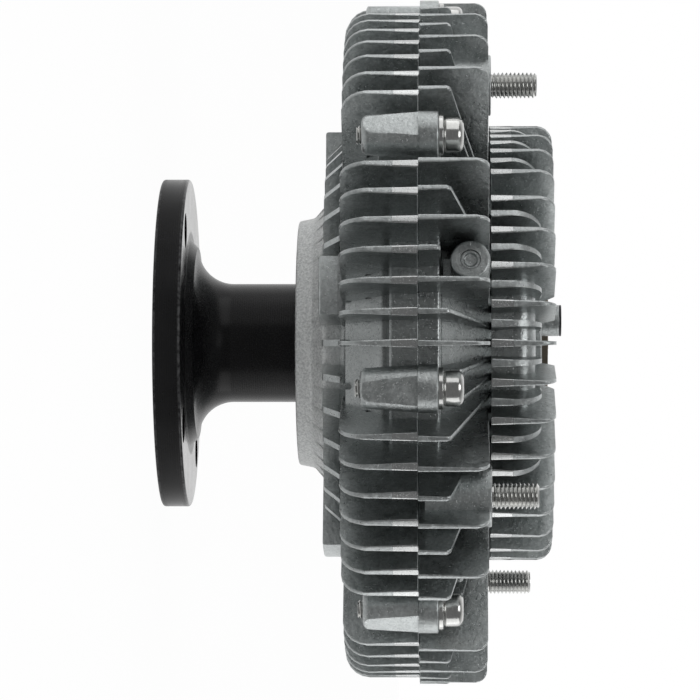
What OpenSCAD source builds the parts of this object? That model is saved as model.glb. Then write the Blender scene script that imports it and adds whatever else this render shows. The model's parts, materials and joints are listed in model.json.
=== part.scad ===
// Viscous fan clutch for an engine cooling fan, in millimetres.
// Its axis is +Z, and the face of the input flange that bolts to the drive pulley lies at Z = 0.

/* [Input flange and shaft] */
// Diameter of the input flange
flange_d = 104.6; // [100:0.2:116]
// Thickness of the input flange
flange_t = 8.6; // [6:0.2:12]
// Chamfer on the two edges of the flange rim
flange_chamfer = 0.8; // [0.3:0.1:1.5]
// Width of the rim outside the flange holes
flange_rim = 3.3; // [2:0.1:6]
// Diameter of each flange hole
flange_hole_d = 11; // [8:0.5:12]
// Number of flange holes
flange_holes = 4; // [3:1:6]
// Direction of the first flange hole, in degrees
flange_hole_angle = 36; // [0:1:90]
// Diameter of the centring recess in the flange face
register_d = 32; // [20:1:40]
// Depth of the centring recess
register_depth = 4; // [2:0.5:6]
// Diameter of the neck where it leaves the flange
neck_d = 66; // [64:0.2:70]
// Height of the neck's cone above the flange
neck_rise = 2.4; // [1:0.2:4]
// Radius of the hollow between the neck and the shaft
neck_fillet = 11.5; // [8:0.5:12]
// Diameter of the open stretch of shaft
shaft_d = 37.8; // [34:0.2:38.6]
// Length from the flange to the housing hub
shaft_gap = 34.8; // [28:0.2:45]

/* [Bearing] */
// Bore of the bearing
bearing_bore = 30; // [28:1:32]
// Outside diameter of the bearing
bearing_od = 62; // [60:1:66]
// Width of the bearing
bearing_w = 16; // [15:0.5:20]
// Diameter of a bearing ball
ball_d = 9.5; // [8:0.1:10]
// Number of bearing balls
balls = 9; // [7:1:10]
// Thickness of a bearing seal
seal_t = 1; // [0.6:0.1:1.5]
// Thickness of the bearing circlip
circlip_t = 2; // [1.5:0.1:2.5]
// Depth of the circlip groove in the hub
circlip_groove = 1.5; // [1:0.1:2]
// Height of the hub's shoulder behind the bearing
hub_shoulder = 3.5; // [2:0.1:5]
// Width of the cage on each side of the balls
cage_rim = 1.3; // [0.8:0.1:2]
// Thickness of the cage
cage_t = 2; // [1:0.1:3]

/* [Drive disc] */
// Diameter of the shaft seat under the drive disc
disc_bore = 25; // [20:0.5:27]
// Diameter of the drive disc's boss
disc_boss_d = 40; // [36:1:46]
// Thickness of the drive disc
disc_t = 6.5; // [5:0.5:9]
// Thickness of the snap ring that holds the disc
disc_ring_t = 1.5; // [1:0.1:2]
// Height of the disc's boss past the disc's rear face
disc_boss_rise = 2.5; // [1.5:0.1:4]
// Length of the shaft past the snap ring
shaft_past = 2; // [1.5:0.1:4]
// Gap between the disc's rim and the chamber
disc_clear = 1; // [0.6:0.1:2]
// Number of balance holes in the disc
disc_holes = 6; // [3:1:8]
// Diameter of a balance hole
disc_hole_d = 7; // [4:0.5:10]
// Distance of the balance holes outside the disc's boss
disc_hole_out = 18.5; // [10:0.5:20]
// Direction of the first balance hole, in degrees
disc_hole_angle = 30; // [0:1:60]
// Number of shear lands on each side
lands = 5; // [3:1:5]
// Distance from one shear land to the next
land_pitch = 5; // [4.5:0.1:5.2]
// Thickness of a shear land
land_t = 2; // [1.4:0.1:2.1]
// Distance of the first shear land inside the chamber wall
land_set = 8; // [6:0.5:10]
// Height of a shear land
land_h = 6; // [3:0.5:8]
// Gap between a land's end and the floor across from it
land_gap = 1; // [0.6:0.1:2]
// Gap between the disc and the separator plate
disc_gap = 2.5; // [2:0.1:4]

/* [Working chamber and joint] */
// Diameter of the working chamber
chamber_d = 160; // [154:0.5:166]
// Width of the joint ring outside the chamber
joint_w = 11; // [10.5:0.25:13]
// Length of the joint ring on the rear half
rear_joint_t = 8.5; // [6:0.5:11]
// Length of the joint ring on the front half
front_joint_t = 6.8; // [6:0.2:8]
// Thickness of the separator plate
plate_t = 2; // [1.5:0.1:3]
// How far the separator plate reaches past the chamber
plate_lap = 3; // [2:0.25:4]
// Width of the ledge that the plate lies on
ledge_w = 4; // [3:0.25:6]
// Distance of the joint's sealing ring outside the chamber
o_ring_out = 7; // [6:0.25:8]
// Wall of the rear half around the chamber
rear_wall = 6; // [5:0.25:8]
// Thickness of the joint's sealing ring
o_ring_d = 2.1; // [1.6:0.1:2.4]

/* [Cover screws] */
// Thread diameter of a cover screw
screw_d = 6; // [5:0.5:6]
// Number of cover screws
screws = 8; // [6:1:8]
// Direction of the first cover screw, in degrees
screw_angle = 7.5; // [0:0.5:45]
// Distance of the screws outside the joint ring
screw_out = 11; // [10:0.25:12]
// Diameter of the screw boss on the rear half
rear_boss_d = 14; // [12:0.2:14.4]
// Diameter of the rear screw boss at its free end
rear_boss_end_d = 11.8; // [11:0.2:12.8]
// How far the flats on the rear bosses lie outside the screw circle
boss_flat = 5.4; // [4.6:0.1:6]
// Length of the screw boss on the rear half
rear_boss_len = 17; // [12:0.5:20]
// Diameter of the screw boss on the front half
front_boss_d = 14.4; // [13:0.1:15.2]
// Length of the screw boss on the front half
front_boss_len = 6; // [5:0.2:8]
// Diameter of a washer
washer_d = 12.4; // [11:0.2:12.6]
// Thickness of a washer
washer_t = 1.6; // [1:0.1:2.2]
// Diameter of a screw head
head_d = 10.6; // [9.6:0.2:11]
// Height of a screw head
head_h = 6; // [5:0.2:7]
// Width of the hexagon socket across its flats
socket_w = 5; // [4:0.5:5]
// Length of a screw past the end of its rear boss
screw_tip = 1.5; // [0.5:0.5:3]

/* [Fins of the rear half] */
// Number of fin places around the housing
fin_count = 72; // [60:12:84]
// How far the rear fins reach outside the screw circle
fin_margin = 4.6; // [4.2:0.1:7]
// Length of the rear fins from the joint
rear_fin_len = 23.4; // [20:0.2:26]
// Radius of the rear fins' corner
rear_fin_corner = 7.5; // [3:0.5:10]
// Thickness of a rear fin at the joint
rear_fin_t = 2.6; // [2:0.1:3]
// Width of the fin-free arc at a screw, in boss widths
fin_skip = 1.2; // [1.1:0.05:1.6]
// Thickness of a fin at its free end
fin_end_t = 1.1; // [0.9:0.1:1.6]

/* [Rear hub] */
// Wall of the hub around the bearing
hub_wall = 7.9; // [6:0.1:10]
// Length of the hub behind the bearing
hub_lip = 4.6; // [3:0.2:7]
// Clearance of the hub around the shaft
hub_clearance = 1.5; // [1:0.1:2.5]
// Thickness of the rear wall
web_t = 6; // [4:0.5:7]
// Thickness of a gusset rib
rib_t = 2; // [1.4:0.1:2.6]
// Height of the gusset ribs from the hub's end
rib_set = 9; // [7:0.2:11]
// Reach of the gusset ribs' flat edge
rib_r = 59; // [54:0.5:64]
// Number of raised pads on the rear face
rear_pads = 4; // [3:1:4]
// Angle that one raised pad covers
rear_pad_sweep = 15.4; // [10:0.2:20]
// Height of the raised pads over the ribs
rear_pad_rise = 0.8; // [0.4:0.1:2]
// Outer radius of the raised pads
rear_pad_r = 68.5; // [64:0.5:72]

/* [Front half] */
// How much further out the front fins reach than the rear fins
front_fin_step = 2; // [0:0.1:3]
// Length of the long front fins from the joint
long_fin_len = 21.2; // [18:0.2:21.6]
// Length of the short front fins along their tips
short_fin_len = 9.5; // [6:0.5:12]
// Length of the stub fins under the plugs
stub_fin_len = 6.6; // [5:0.2:8]
// Radius of the long fins' corner
long_fin_corner = 3.7; // [2:0.1:5]
// Thickness of a front fin at the joint
front_fin_t = 1.7; // [1.3:0.1:2.4]
// Wall thickness of the cover
cover_wall = 4.5; // [3.5:0.25:5]
// Wall thickness of the drum
drum_wall = 5; // [4:0.25:6]
// Distance of the oil passages from the joint
passage_h = 15.5; // [14:0.25:17]
// Diameter of the oil passages
passage_d = 4; // [3:0.25:4.5]
// Distance of the passages' inlets inside the chamber wall
passage_in = 2; // [1.9:0.1:3]
// Diameter of the passages' inlets
inlet_d = 3.4; // [2:0.2:3.6]
// Diameter of a passage plug
plug_d = 6; // [5:0.25:6.5]
// Depth of a passage plug
plug_depth = 6; // [4:0.5:8]
// Diameter of a plug boss
plug_boss_d = 11.8; // [9:0.2:12.4]
// Radius at which a plug boss ends
plug_boss_r = 95.6; // [92:0.2:98]

/* [Fan mounting] */
// Circle that the fan studs lie on
stud_pcd = 183; // [178:0.5:186]
// Thread diameter of a fan stud
stud_d = 8; // [6:1:10]
// Length of a fan stud above its pad
stud_len = 14.1; // [10:0.5:20]
// Step between a stud's thread and its thinner end in the cover
stud_step = 0.5; // [0.3:0.1:1]
// Depth of a fan stud in the cover
stud_depth = 14; // [10:0.5:15]
// Number of fan studs
studs = 4; // [4:1:4]
// Direction of the first fan stud, in degrees
stud_angle = 30; // [28:0.5:32]
// Diameter of the pad around a stud
pad_d = 18.6; // [16:0.2:20]
// Height of the pads from the joint
seat_h = 22; // [22:0.2:24]
// Diameter that centres the fan
pilot_d = 138.6; // [134:0.2:144]
// Length of the finned drum past the pads
drum_len = 19.7; // [18:0.1:24]
// Depth of the drum's fins
drum_fin_h = 9.8; // [8:0.2:12]
// Height of the fins on the drum's front face
drum_face_h = 6.2; // [5:0.2:8]
// Radius of the drum fins' corner
drum_corner = 4.5; // [2:0.1:6]
// Radius of the short drum fins' rounded end
drum_arc = 9; // [6:0.5:9.5]
// Distance of the short drum fins' ends behind the drum's front
drum_step = 4.3; // [1.5:0.1:5]
// Angle from a plug to the middle of the drum's arc that has no short fins
bare_set = 75; // [60:5:90]
// Angle of that arc
bare_sweep = 35; // [15:5:45]
// Thickness of a drum fin at the pads
drum_fin_t = 2.6; // [2:0.1:3]

/* [Valve and bimetal coil] */
// Diameter of the valve shaft
valve_d = 8; // [6:0.5:9]
// Wall of the bush around the valve shaft
bush_wall = 2; // [1.5:0.1:2.5]
// Wall of the boss around the bush
valve_boss_wall = 3; // [2:0.25:4]
// Thickness of the valve arm
arm_t = 1.2; // [1:0.1:2]
// Width of the valve arm
arm_w = 9; // [7:0.5:12]
// Distance of the oil port from the axis
port_r = 54; // [46:0.5:60]
// Diameter of the oil port in the plate
port_d = 6; // [4:0.25:7]
// Length of the valve boss behind the recess floor
valve_boss_back = 7; // [6:0.25:9]
// Length of the valve boss in the recess
valve_boss_front = 3; // [2:0.25:3.5]
// Thickness of the clip on the valve shaft
clip_t = 0.8; // [0.6:0.1:1]
// Gap between the clip and the coil
coil_gap = 0.5; // [0.3:0.1:0.8]
// Thickness of the sealing ring on the valve shaft
valve_ring_d = 1.4; // [1:0.1:1.8]
// Distance of that sealing ring behind the recess floor
valve_ring_set = 2; // [1.5:0.1:3]
// Depth of the recess that holds the coil
recess_depth = 12.7; // [12:0.1:13.4]
// Distance of the coil's post from the axis
post_r = 30; // [29:0.25:33]
// Diameter of the coil's post
post_d = 9.7; // [8:0.1:10.4]
// Direction of the coil's post, in degrees
post_angle = -103.5; // [-120:0.5:-90]
// Gap between the post and the recess wall
post_gap = 1.2; // [0.8:0.1:2]
// Angle of the coil's straight end before the post
coil_lead = 40; // [30:1:50]
// Height of the post past the drum's front
post_rise = 1.8; // [1:0.1:4]
// Thickness of the cap on the post
cap_t = 0.6; // [0.4:0.1:1.2]
// Outer radius of the coil
coil_r = 22.5; // [20:0.25:23]
// Distance from one turn of the coil to the next
coil_pitch = 4; // [3:0.1:4.2]
// Number of turns in the coil
coil_turns = 3.75; // [2.5:0.25:4]
// Thickness of the bimetal strip
coil_t = 1; // [0.6:0.1:1.4]
// Width of the bimetal strip
coil_w = 7; // [5:0.25:8]

/* [Hidden] */
$fn = 72;
// Clearance of a fit within one body, and of a running fit
fit = 0.06;
run = 0.05;
// Overshoot of a cut past the face it opens
past = 1;
// Depth that a land is sunk into what carries it
sunk = 0.5;
// Segments in the round of one corner
arc_steps = 4;

// Places along the axis
z_hub = flange_t + shaft_gap;
z_bearing = z_hub + hub_lip;
z_bearing_end = z_bearing + bearing_w;
z_floor = z_bearing_end + circlip_t;
z_web = z_floor - web_t;
z_disc = z_floor + land_h + land_gap;
z_joint = z_disc + disc_t + disc_gap;
z_ledge = z_joint + plate_t;
z_rear_fin = z_joint - rear_fin_len;
z_ring = z_joint + front_joint_t;
z_boss = z_joint + front_boss_len;
z_seat = z_joint + seat_h;
z_front = z_seat + drum_len;
z_face = z_front - drum_face_h;
z_recess = z_front - recess_depth;
z_post = z_front + post_rise;
z_passage = z_joint + passage_h;

// Radii
flange_r = flange_d / 2;
flange_pcd = flange_d - flange_hole_d - 2 * flange_rim;
shaft_r = shaft_d / 2;
seat_r = bearing_bore / 2;
bearing_r = bearing_od / 2;
hub_r = bearing_r + hub_wall;
chamber_r = chamber_d / 2;
joint_r = chamber_r + joint_w;
plate_r = chamber_r + plate_lap;
o_ring_r = chamber_r + o_ring_out;
screw_r = joint_r + screw_out;
rear_fin_r = screw_r + fin_margin;
front_fin_r = rear_fin_r + front_fin_step;
root_r = chamber_r + rear_wall;
ledge_r = chamber_r - ledge_w;
disc_r = chamber_r - disc_clear;
pilot_r = pilot_d / 2;
drum_r = pilot_r - drum_fin_h;
drum_bore_r = drum_r - drum_wall;
recess_r = post_r + post_d / 2 + post_gap;
bush_r = valve_d / 2 + bush_wall;
valve_boss_r = bush_r + valve_boss_wall;

// Bearing
pitch_r = (seat_r + bearing_r) / 2;
ball_r = ball_d / 2;
// Share of the ball's radius between the rings' shoulders
race_share = 0.72;
race_inner_r = pitch_r - race_share * ball_r;
race_outer_r = pitch_r + race_share * ball_r;
z_balls = z_bearing + bearing_w / 2;
cage_w = ball_d + 2 * cage_rim;
lip_r = bearing_r - hub_shoulder;

// Drive disc and its snap ring
disc_seat_r = disc_bore / 2;
ring_groove = 1;
z_disc_ring = z_disc + disc_boss_rise;
z_shaft_end = z_disc_ring + disc_ring_t + shaft_past;
first_land_r = chamber_r - land_set;
disc_hole_r = disc_boss_d / 2 + disc_hole_out;

// Fins
fin_pitch = 360 / fin_count;
boss_clear = fin_skip * asin(rear_boss_d / 2 / screw_r);
plugs = 2;
passage_r = chamber_r - passage_in;
plug_angle = stud_angle + 180 / studs;
drum_gap_angle = stud_angle + 3 * fin_pitch;

// Studs
stud_core_r = stud_d / 2 - stud_step;
stud_chamfer = 0.8;
z_stud = z_seat - stud_depth + 4 * run;
z_stud_end = z_seat + stud_len;

// Valve
valve_r = valve_d / 2;
z_valve_boss = z_recess - valve_boss_back;
z_valve_boss_end = z_recess + valve_boss_front;
z_coil = z_valve_boss_end + clip_t + coil_gap;
z_valve_ring = z_recess - valve_ring_set;
coil_end_angle = post_angle - coil_lead;
coil_start_r = coil_r - coil_pitch * coil_turns;
coil_start_angle = coil_end_angle - 360 * coil_turns;

function flat(p) = [p[0], p[1]];
function unit(v) = v / norm(v);
function polar(r, a) = [r * cos(a), r * sin(a)];
function apart(a, b) = abs((a - b + 900) % 360 - 180);

// Points of one rounded corner at p, between its neighbours a and b. Its radius is limited by its sides.
function corner(a, p, b, radius) =
    let (
        u = unit(a - p),
        v = unit(b - p),
        half = acos(max(-1, min(1, u * v))) / 2,
        reach = min(radius / tan(half), 0.49 * min(norm(a - p), norm(b - p))),
        centre = p + unit(u + v) * reach / cos(half),
        start = p + u * reach - centre,
        end = p + v * reach - centre,
        from = atan2(start[1], start[0]),
        sweep = (atan2(end[1], end[0]) - from + 540) % 360 - 180
    )
    [for (i = [0 : arc_steps]) centre + norm(start) * polar(1, from + sweep * i / arc_steps)];

// An outline whose points may carry a third value, the radius of their corner.
function rounded(points) =
    let (n = len(points))
    [
        for (i = [0 : n - 1])
            each len(points[i]) < 3
                ? [points[i]]
                : let (before = points[(i + n - 1) % n], after = points[(i + 1) % n])
                  corner(flat(before), flat(points[i]), flat(after), points[i][2])
    ];

// One side of a strip that follows a path, at a distance to its left.
function side(path, distance) =
    let (last = len(path) - 1)
    [
        for (i = [0 : last])
            let (along = unit(path[min(i + 1, last)] - path[max(i - 1, 0)]))
            path[i] + distance * [-along[1], along[0]]
    ];

function reversed(points) = [for (i = [len(points) - 1 : -1 : 0]) points[i]];

function nearest(a, first, count) = min([for (i = [0 : count - 1]) apart(a, first + 360 * i / count)]);
function near_screw(a) = nearest(a, screw_angle, screws) < boss_clear;
function near_plug(a) = nearest(a, plug_angle, plugs) < fin_pitch / 2;
function near_gap(a) = nearest(a, drum_gap_angle, studs) < fin_pitch / 2;
function near_bare(a) = nearest(a, plug_angle + bare_set, plugs) < bare_sweep / 2;
function fin_places(first, step) = [for (i = [first : step : fin_count - 1]) i * fin_pitch];

rear_fins = [for (a = fin_places(0, 1)) if (!near_screw(a)) a];
long_fins = [for (a = fin_places(0, 2)) if (!near_screw(a)) a];
short_fins = [for (a = fin_places(1, 2)) if (!near_screw(a) && !near_plug(a)) a];
stub_fins = [for (a = fin_places(1, 2)) if (near_plug(a)) a];
drum_short_fins = [for (a = fin_places(1, 2)) if (!near_gap(a) && !near_bare(a)) a];

module turned(points) {
    rotate_extrude() polygon(rounded(points));
}

module ring(r_in, r_out, z, h) {
    turned([[r_in, z], [r_out, z], [r_out, z + h], [r_in, z + h]]);
}

module around(count, first, r) {
    for (i = [0 : count - 1]) rotate([0, 0, first + 360 * i / count]) translate([r, 0, 0]) children();
}

// Plates that stand on radii and thin towards their far end, trimmed to a turned outline.
module fins(places, outline, z_from, z_to, t_from, t_to) {
    reach = max([for (p = outline) p[0]]) + past;
    start = min([for (p = outline) p[0]]) - past;
    blade = [[-t_from / 2, z_from], [t_from / 2, z_from], [t_to / 2, z_to], [-t_to / 2, z_to]];
    intersection() {
        for (a = places)
            rotate([0, 0, a])
                translate([start, 0, 0])
                    rotate([90, 0, 90])
                        linear_extrude(reach - start) polygon(blade);
        turned(outline);
    }
}

// Outlines of the fins, as points of radius and height.
rear_fin_outline = [
    [root_r - 22, z_rear_fin],
    [rear_fin_r, z_rear_fin, rear_fin_corner],
    [rear_fin_r, z_joint],
    [root_r - 3, z_joint],
    [root_r - 3, z_floor],
    [root_r - 22, z_floor - 3]
];
rib_outline = [
    [hub_r - 2, z_hub + 2.4],
    [hub_r + 5.5, z_hub + rib_set - 0.2, 4],
    [rib_r, z_hub + rib_set, 2],
    [rib_r + 6, z_rear_fin, 2],
    [root_r - 10, z_rear_fin],
    [root_r - 10, z_web + 2],
    [hub_r - 2, z_web + 2]
];
long_fin_outline = [
    [drum_r - 1, z_seat - 8],
    [ledge_r, z_ring - 1],
    [chamber_r + 5, z_ring - 1],
    [chamber_r + 5, z_joint],
    [front_fin_r, z_joint],
    [front_fin_r, z_joint + long_fin_len, long_fin_corner],
    [drum_r - 1, z_joint + long_fin_len]
];
short_fin_outline = [
    [drum_r - 1, z_seat - 8],
    [ledge_r, z_ring - 1],
    [chamber_r + 5, z_ring - 1],
    [chamber_r + 5, z_joint],
    [front_fin_r, z_joint],
    [front_fin_r, z_joint + short_fin_len, 1.2],
    [drum_r - 1, z_seat + 0.6]
];
stub_fin_outline = [
    [chamber_r + 5, z_joint],
    [front_fin_r, z_joint],
    [front_fin_r, z_joint + stub_fin_len, 1.2],
    [chamber_r + 5, z_joint + stub_fin_len]
];
drum_long_outline = [
    [drum_r - 2, z_seat],
    [pilot_r, z_seat],
    [pilot_r, z_front, drum_corner],
    [recess_r + 7, z_front, 1.5],
    [recess_r + 3, z_face + 3],
    [recess_r + 3, z_face - 1],
    [drum_r - 2, z_face - 3]
];
drum_short_outline = [
    [drum_r - 2, z_seat],
    [pilot_r, z_seat],
    each [
        for (i = [0 : 2 * arc_steps])
            let (a = 45 * i / arc_steps)
            [pilot_r - drum_arc, z_front - drum_step - drum_arc] + drum_arc * polar(1, a)
    ],
    [drum_r - 4, z_front - drum_step],
    [drum_r - 4, z_face - 3]
];

// The hollow between the neck's cone and the shaft, from its lower end.
neck_hollow = [
    for (i = [0 : 2 * arc_steps])
        let (a = 270 - 45 * i / arc_steps)
        [shaft_r + neck_fillet, flange_t + neck_rise + neck_fillet] + neck_fillet * polar(1, a)
];

module input_flange_shaft() {
    color("#1c1d1f")
        difference() {
            turned([
                [0, 0],
                [flange_r - flange_chamfer, 0],
                [flange_r, flange_chamfer],
                [flange_r, flange_t - flange_chamfer],
                [flange_r - flange_chamfer, flange_t],
                [neck_d / 2, flange_t],
                each neck_hollow,
                [shaft_r, z_bearing],
                [seat_r - fit, z_bearing],
                [seat_r - fit, z_bearing_end],
                [disc_seat_r, z_bearing_end],
                [disc_seat_r, z_shaft_end - 1],
                [disc_seat_r - 1, z_shaft_end],
                [0, z_shaft_end]
            ]);
            around(flange_holes, flange_hole_angle, flange_pcd / 2)
                translate([0, 0, -past])
                    cylinder(d = flange_hole_d, h = flange_t + 2 * past);
            translate([0, 0, -past]) cylinder(d = register_d, h = register_depth + past);
            ring(disc_seat_r - ring_groove, disc_seat_r + past, z_disc_ring, disc_ring_t + fit);
        }
}

module bearing_inner_ring() {
    color("#b9bdc1")
        difference() {
            ring(seat_r, race_inner_r, z_bearing + fit, bearing_w - 2 * fit);
            ball_track();
        }
}

module bearing_outer_ring() {
    color("#b9bdc1")
        difference() {
            ring(race_outer_r, bearing_r - fit, z_bearing + fit, bearing_w - 2 * fit);
            ball_track();
        }
}

module ball_track() {
    translate([0, 0, z_balls]) rotate_extrude() translate([pitch_r, 0]) circle(r = ball_r + run);
}

module bearing_balls() {
    color("#d5d8da") around(balls, 0, pitch_r) translate([0, 0, z_balls]) sphere(r = ball_r);
}

module bearing_cage() {
    color("#8d7a4a")
        difference() {
            ring(pitch_r - cage_t / 2, pitch_r + cage_t / 2, z_balls - cage_w / 2, cage_w);
            around(balls, 0, pitch_r) translate([0, 0, z_balls]) sphere(r = ball_r + run);
        }
}

module bearing_seal(z) {
    color("#26262a") ring(race_inner_r + 0.3, race_outer_r - fit, z, seal_t);
}

module bearing_seal_rear() {
    bearing_seal(z_bearing + 0.1);
}

module bearing_seal_front() {
    bearing_seal(z_bearing_end - seal_t - 0.1);
}

module bearing_circlip() {
    color("#55585c")
        difference() {
            ring(bearing_r - 2.5, bearing_r + circlip_groove - 0.1, z_bearing_end, circlip_t - run);
            translate([bearing_r, 0, z_bearing_end]) cube([16, 12, 3 * circlip_t], center = true);
        }
}

module drive_disc() {
    color("#9aa0a4")
        difference() {
            union() {
                turned([
                    [disc_seat_r + fit, z_bearing_end],
                    [seat_r + 3, z_bearing_end],
                    [disc_boss_d / 2, z_bearing_end + 3],
                    [disc_boss_d / 2, z_disc, 2],
                    [disc_r, z_disc],
                    [disc_r, z_disc + disc_t],
                    [disc_boss_d / 2, z_disc + disc_t],
                    [disc_boss_d / 2 - 2, z_disc_ring],
                    [disc_seat_r + fit, z_disc_ring]
                ]);
                for (i = [0 : lands - 1])
                    shear_land(first_land_r + (0.5 - i) * land_pitch, z_disc - land_h, land_h + sunk);
            }
            around(disc_holes, disc_hole_angle, disc_hole_r)
                translate([0, 0, z_disc - past])
                    cylinder(d = disc_hole_d, h = disc_t + 2 * past);
        }
}

module shear_land(r, z, h) {
    ring(r - land_t / 2, r + land_t / 2, z, h);
}

module disc_ring() {
    color("#3c3e41")
        difference() {
            ring(disc_seat_r - ring_groove + 0.05, disc_seat_r + 3, z_disc_ring + fit / 2, disc_ring_t);
            translate([disc_seat_r, 0, z_disc_ring]) cube([10, 8, 4 * disc_ring_t], center = true);
        }
}

module rear_body() {
    turned([
        [shaft_r + hub_clearance, z_hub],
        [hub_r, z_hub, 1],
        [hub_r + 1, z_hub + 5, 3],
        [hub_r + 5, z_hub + rib_set, 3],
        [hub_r + 6, z_web, 3],
        [root_r - 12, z_web],
        [root_r, z_web + 11, 7],
        [root_r, z_joint - rear_joint_t - 1],
        [joint_r, z_joint - rear_joint_t, 1],
        [joint_r, z_joint],
        [chamber_r, z_joint],
        [chamber_r, z_floor, 2],
        [bearing_r + 6, z_floor],
        [bearing_r + 5, z_floor + 2],
        [bearing_r, z_floor + 2],
        [bearing_r, z_bearing],
        [lip_r, z_bearing],
        [lip_r, z_bearing - 1.4],
        [shaft_r + hub_clearance, z_bearing - 1.4]
    ]);
}

module rear_boss() {
    turned([
        [0, z_joint - rear_boss_len],
        [rear_boss_end_d / 2, z_joint - rear_boss_len, 2],
        [rear_boss_d / 2, z_joint],
        [0, z_joint]
    ]);
    translate([-screw_out - 6, -4, z_joint - rear_boss_len + 5])
        cube([screw_out + 6, 8, rear_boss_len - 5]);
}

module rear_pad() {
    rotate([0, 0, -rear_pad_sweep / 2])
        rotate_extrude(angle = rear_pad_sweep)
            polygon([
                [hub_r + 4, z_hub + rib_set - rear_pad_rise],
                [rear_pad_r, z_hub + rib_set - rear_pad_rise],
                [rear_pad_r, z_web + 2],
                [hub_r + 4, z_web + 2]
            ]);
}

module rear_housing() {
    color("#83888b")
        difference() {
            union() {
                rear_body();
                fins(rear_fins, rear_fin_outline, z_rear_fin, z_joint, fin_end_t, rear_fin_t);
                fins(fin_places(0, 2), rib_outline, z_hub, z_web + 2, rib_t, rib_t);
                intersection() {
                    around(screws, screw_angle, screw_r) rear_boss();
                    ring(0, screw_r + boss_flat, z_hub, z_joint - z_hub);
                }
                around(rear_pads, plug_angle, 0) rear_pad();
                for (i = [0 : lands - 1])
                    shear_land(first_land_r - i * land_pitch, z_floor - sunk, land_h + sunk);
            }
            around(screws, screw_angle, screw_r)
                translate([0, 0, z_joint - rear_boss_len - past])
                    cylinder(d = screw_d + 2 * fit, h = rear_boss_len + 2 * past);
            ring(bearing_r - past, bearing_r + circlip_groove, z_bearing_end, circlip_t);
        }
}

module cover_body() {
    turned([
        [plate_r + 2 * fit, z_joint],
        [joint_r, z_joint],
        [joint_r, z_ring, 1],
        [chamber_r + 4, z_ring, 3],
        [drum_r + 1, z_seat - 0.6],
        [drum_r, z_seat],
        [drum_r, z_face, 5],
        [recess_r + 2.6, z_face],
        [recess_r + 2.6, z_face + 2.4],
        [recess_r, z_face + 2.4],
        [recess_r, z_recess, 2],
        [valve_boss_r, z_recess],
        [valve_boss_r, z_valve_boss_end],
        [bush_r + fit, z_valve_boss_end],
        [bush_r + fit, z_valve_boss],
        [valve_boss_r, z_valve_boss],
        [valve_boss_r, z_recess - cover_wall],
        [recess_r + cover_wall - 1, z_recess - cover_wall, 4],
        [recess_r + cover_wall, z_face - cover_wall],
        [drum_bore_r, z_face - cover_wall, 3],
        [drum_bore_r, z_seat - 1],
        [ledge_r, z_ledge + 2],
        [ledge_r, z_ledge],
        [plate_r + 2 * fit, z_ledge]
    ]);
}

module stud_pad() {
    translate([0, 0, z_ledge]) cylinder(d = pad_d, h = z_seat - z_ledge);
}

module front_boss() {
    translate([0, 0, z_joint]) cylinder(d = front_boss_d, h = front_boss_len);
    translate([-screw_out - 3, -4.5, z_joint]) cube([screw_out + 3, 9, front_boss_len]);
}

// A round boss that carries one drilled oil passage from the reservoir wall out to its plug.
// It is flat on the underside where it crosses the wall.
module plug_boss() {
    inner = drum_r + 1;
    w = plug_boss_d + 2 * past;
    difference() {
        translate([inner, 0, z_passage])
            rotate([0, 90, 0])
                cylinder(d = plug_boss_d, h = plug_boss_r - inner);
        translate([inner - past, -w / 2, z_passage - passage_d / 2 - 1.5 - w])
            cube([passage_r - 4 - inner + past, w, w]);
    }
    translate([passage_r - 5, -4, z_ring - 1]) cube([10, 8, z_passage - z_ring + 1]);
}

module coil_post() {
    translate([0, 0, z_recess - 1]) cylinder(d = post_d, h = z_post - z_recess + 1);
}

module front_cover() {
    groove_w = o_ring_d + 4 * run;
    color("#878c8f")
        difference() {
            union() {
                cover_body();
                fins(long_fins, long_fin_outline, z_joint, z_joint + long_fin_len, front_fin_t, fin_end_t);
                fins(short_fins, short_fin_outline, z_joint, z_seat + 1, front_fin_t, fin_end_t);
                fins(stub_fins, stub_fin_outline, z_joint, z_seat, front_fin_t, fin_end_t);
                fins(fin_places(0, 2), drum_long_outline, z_seat, z_front, drum_fin_t, fin_end_t);
                fins(drum_short_fins, drum_short_outline, z_seat, z_front, drum_fin_t, fin_end_t);
                around(screws, screw_angle, screw_r) front_boss();
                around(studs, stud_angle, stud_pcd / 2) stud_pad();
                around(plugs, plug_angle, 0) plug_boss();
                rotate([0, 0, post_angle]) translate([post_r, 0, 0]) coil_post();
            }
            around(screws, screw_angle, screw_r)
                translate([0, 0, z_joint - past])
                    cylinder(d = screw_d + 0.6, h = front_boss_len + 2 * past);
            around(screws, screw_angle, screw_r)
                translate([0, 0, z_boss])
                    cylinder(d = washer_d + 0.4, h = seat_h);
            around(studs, stud_angle, stud_pcd / 2)
                translate([0, 0, z_seat - stud_depth])
                    cylinder(r = stud_core_r + fit, h = stud_depth + past);
            around(plugs, plug_angle, 0) oil_passage();
            ring(o_ring_r - groove_w / 2, o_ring_r + groove_w / 2, z_joint - past, o_ring_d + fit + past);
            coil_slot();
        }
}

module oil_passage() {
    translate([drum_bore_r, 0, z_passage])
        rotate([0, 90, 0])
            cylinder(d = passage_d, h = plug_boss_r - drum_bore_r + past);
    translate([plug_boss_r - plug_depth, 0, z_passage])
        rotate([0, 90, 0])
            cylinder(d = plug_d + 2 * fit, h = plug_depth + past);
    translate([passage_r, 0, z_ledge - past]) cylinder(d = inlet_d, h = z_passage - z_ledge + past);
}

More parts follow.
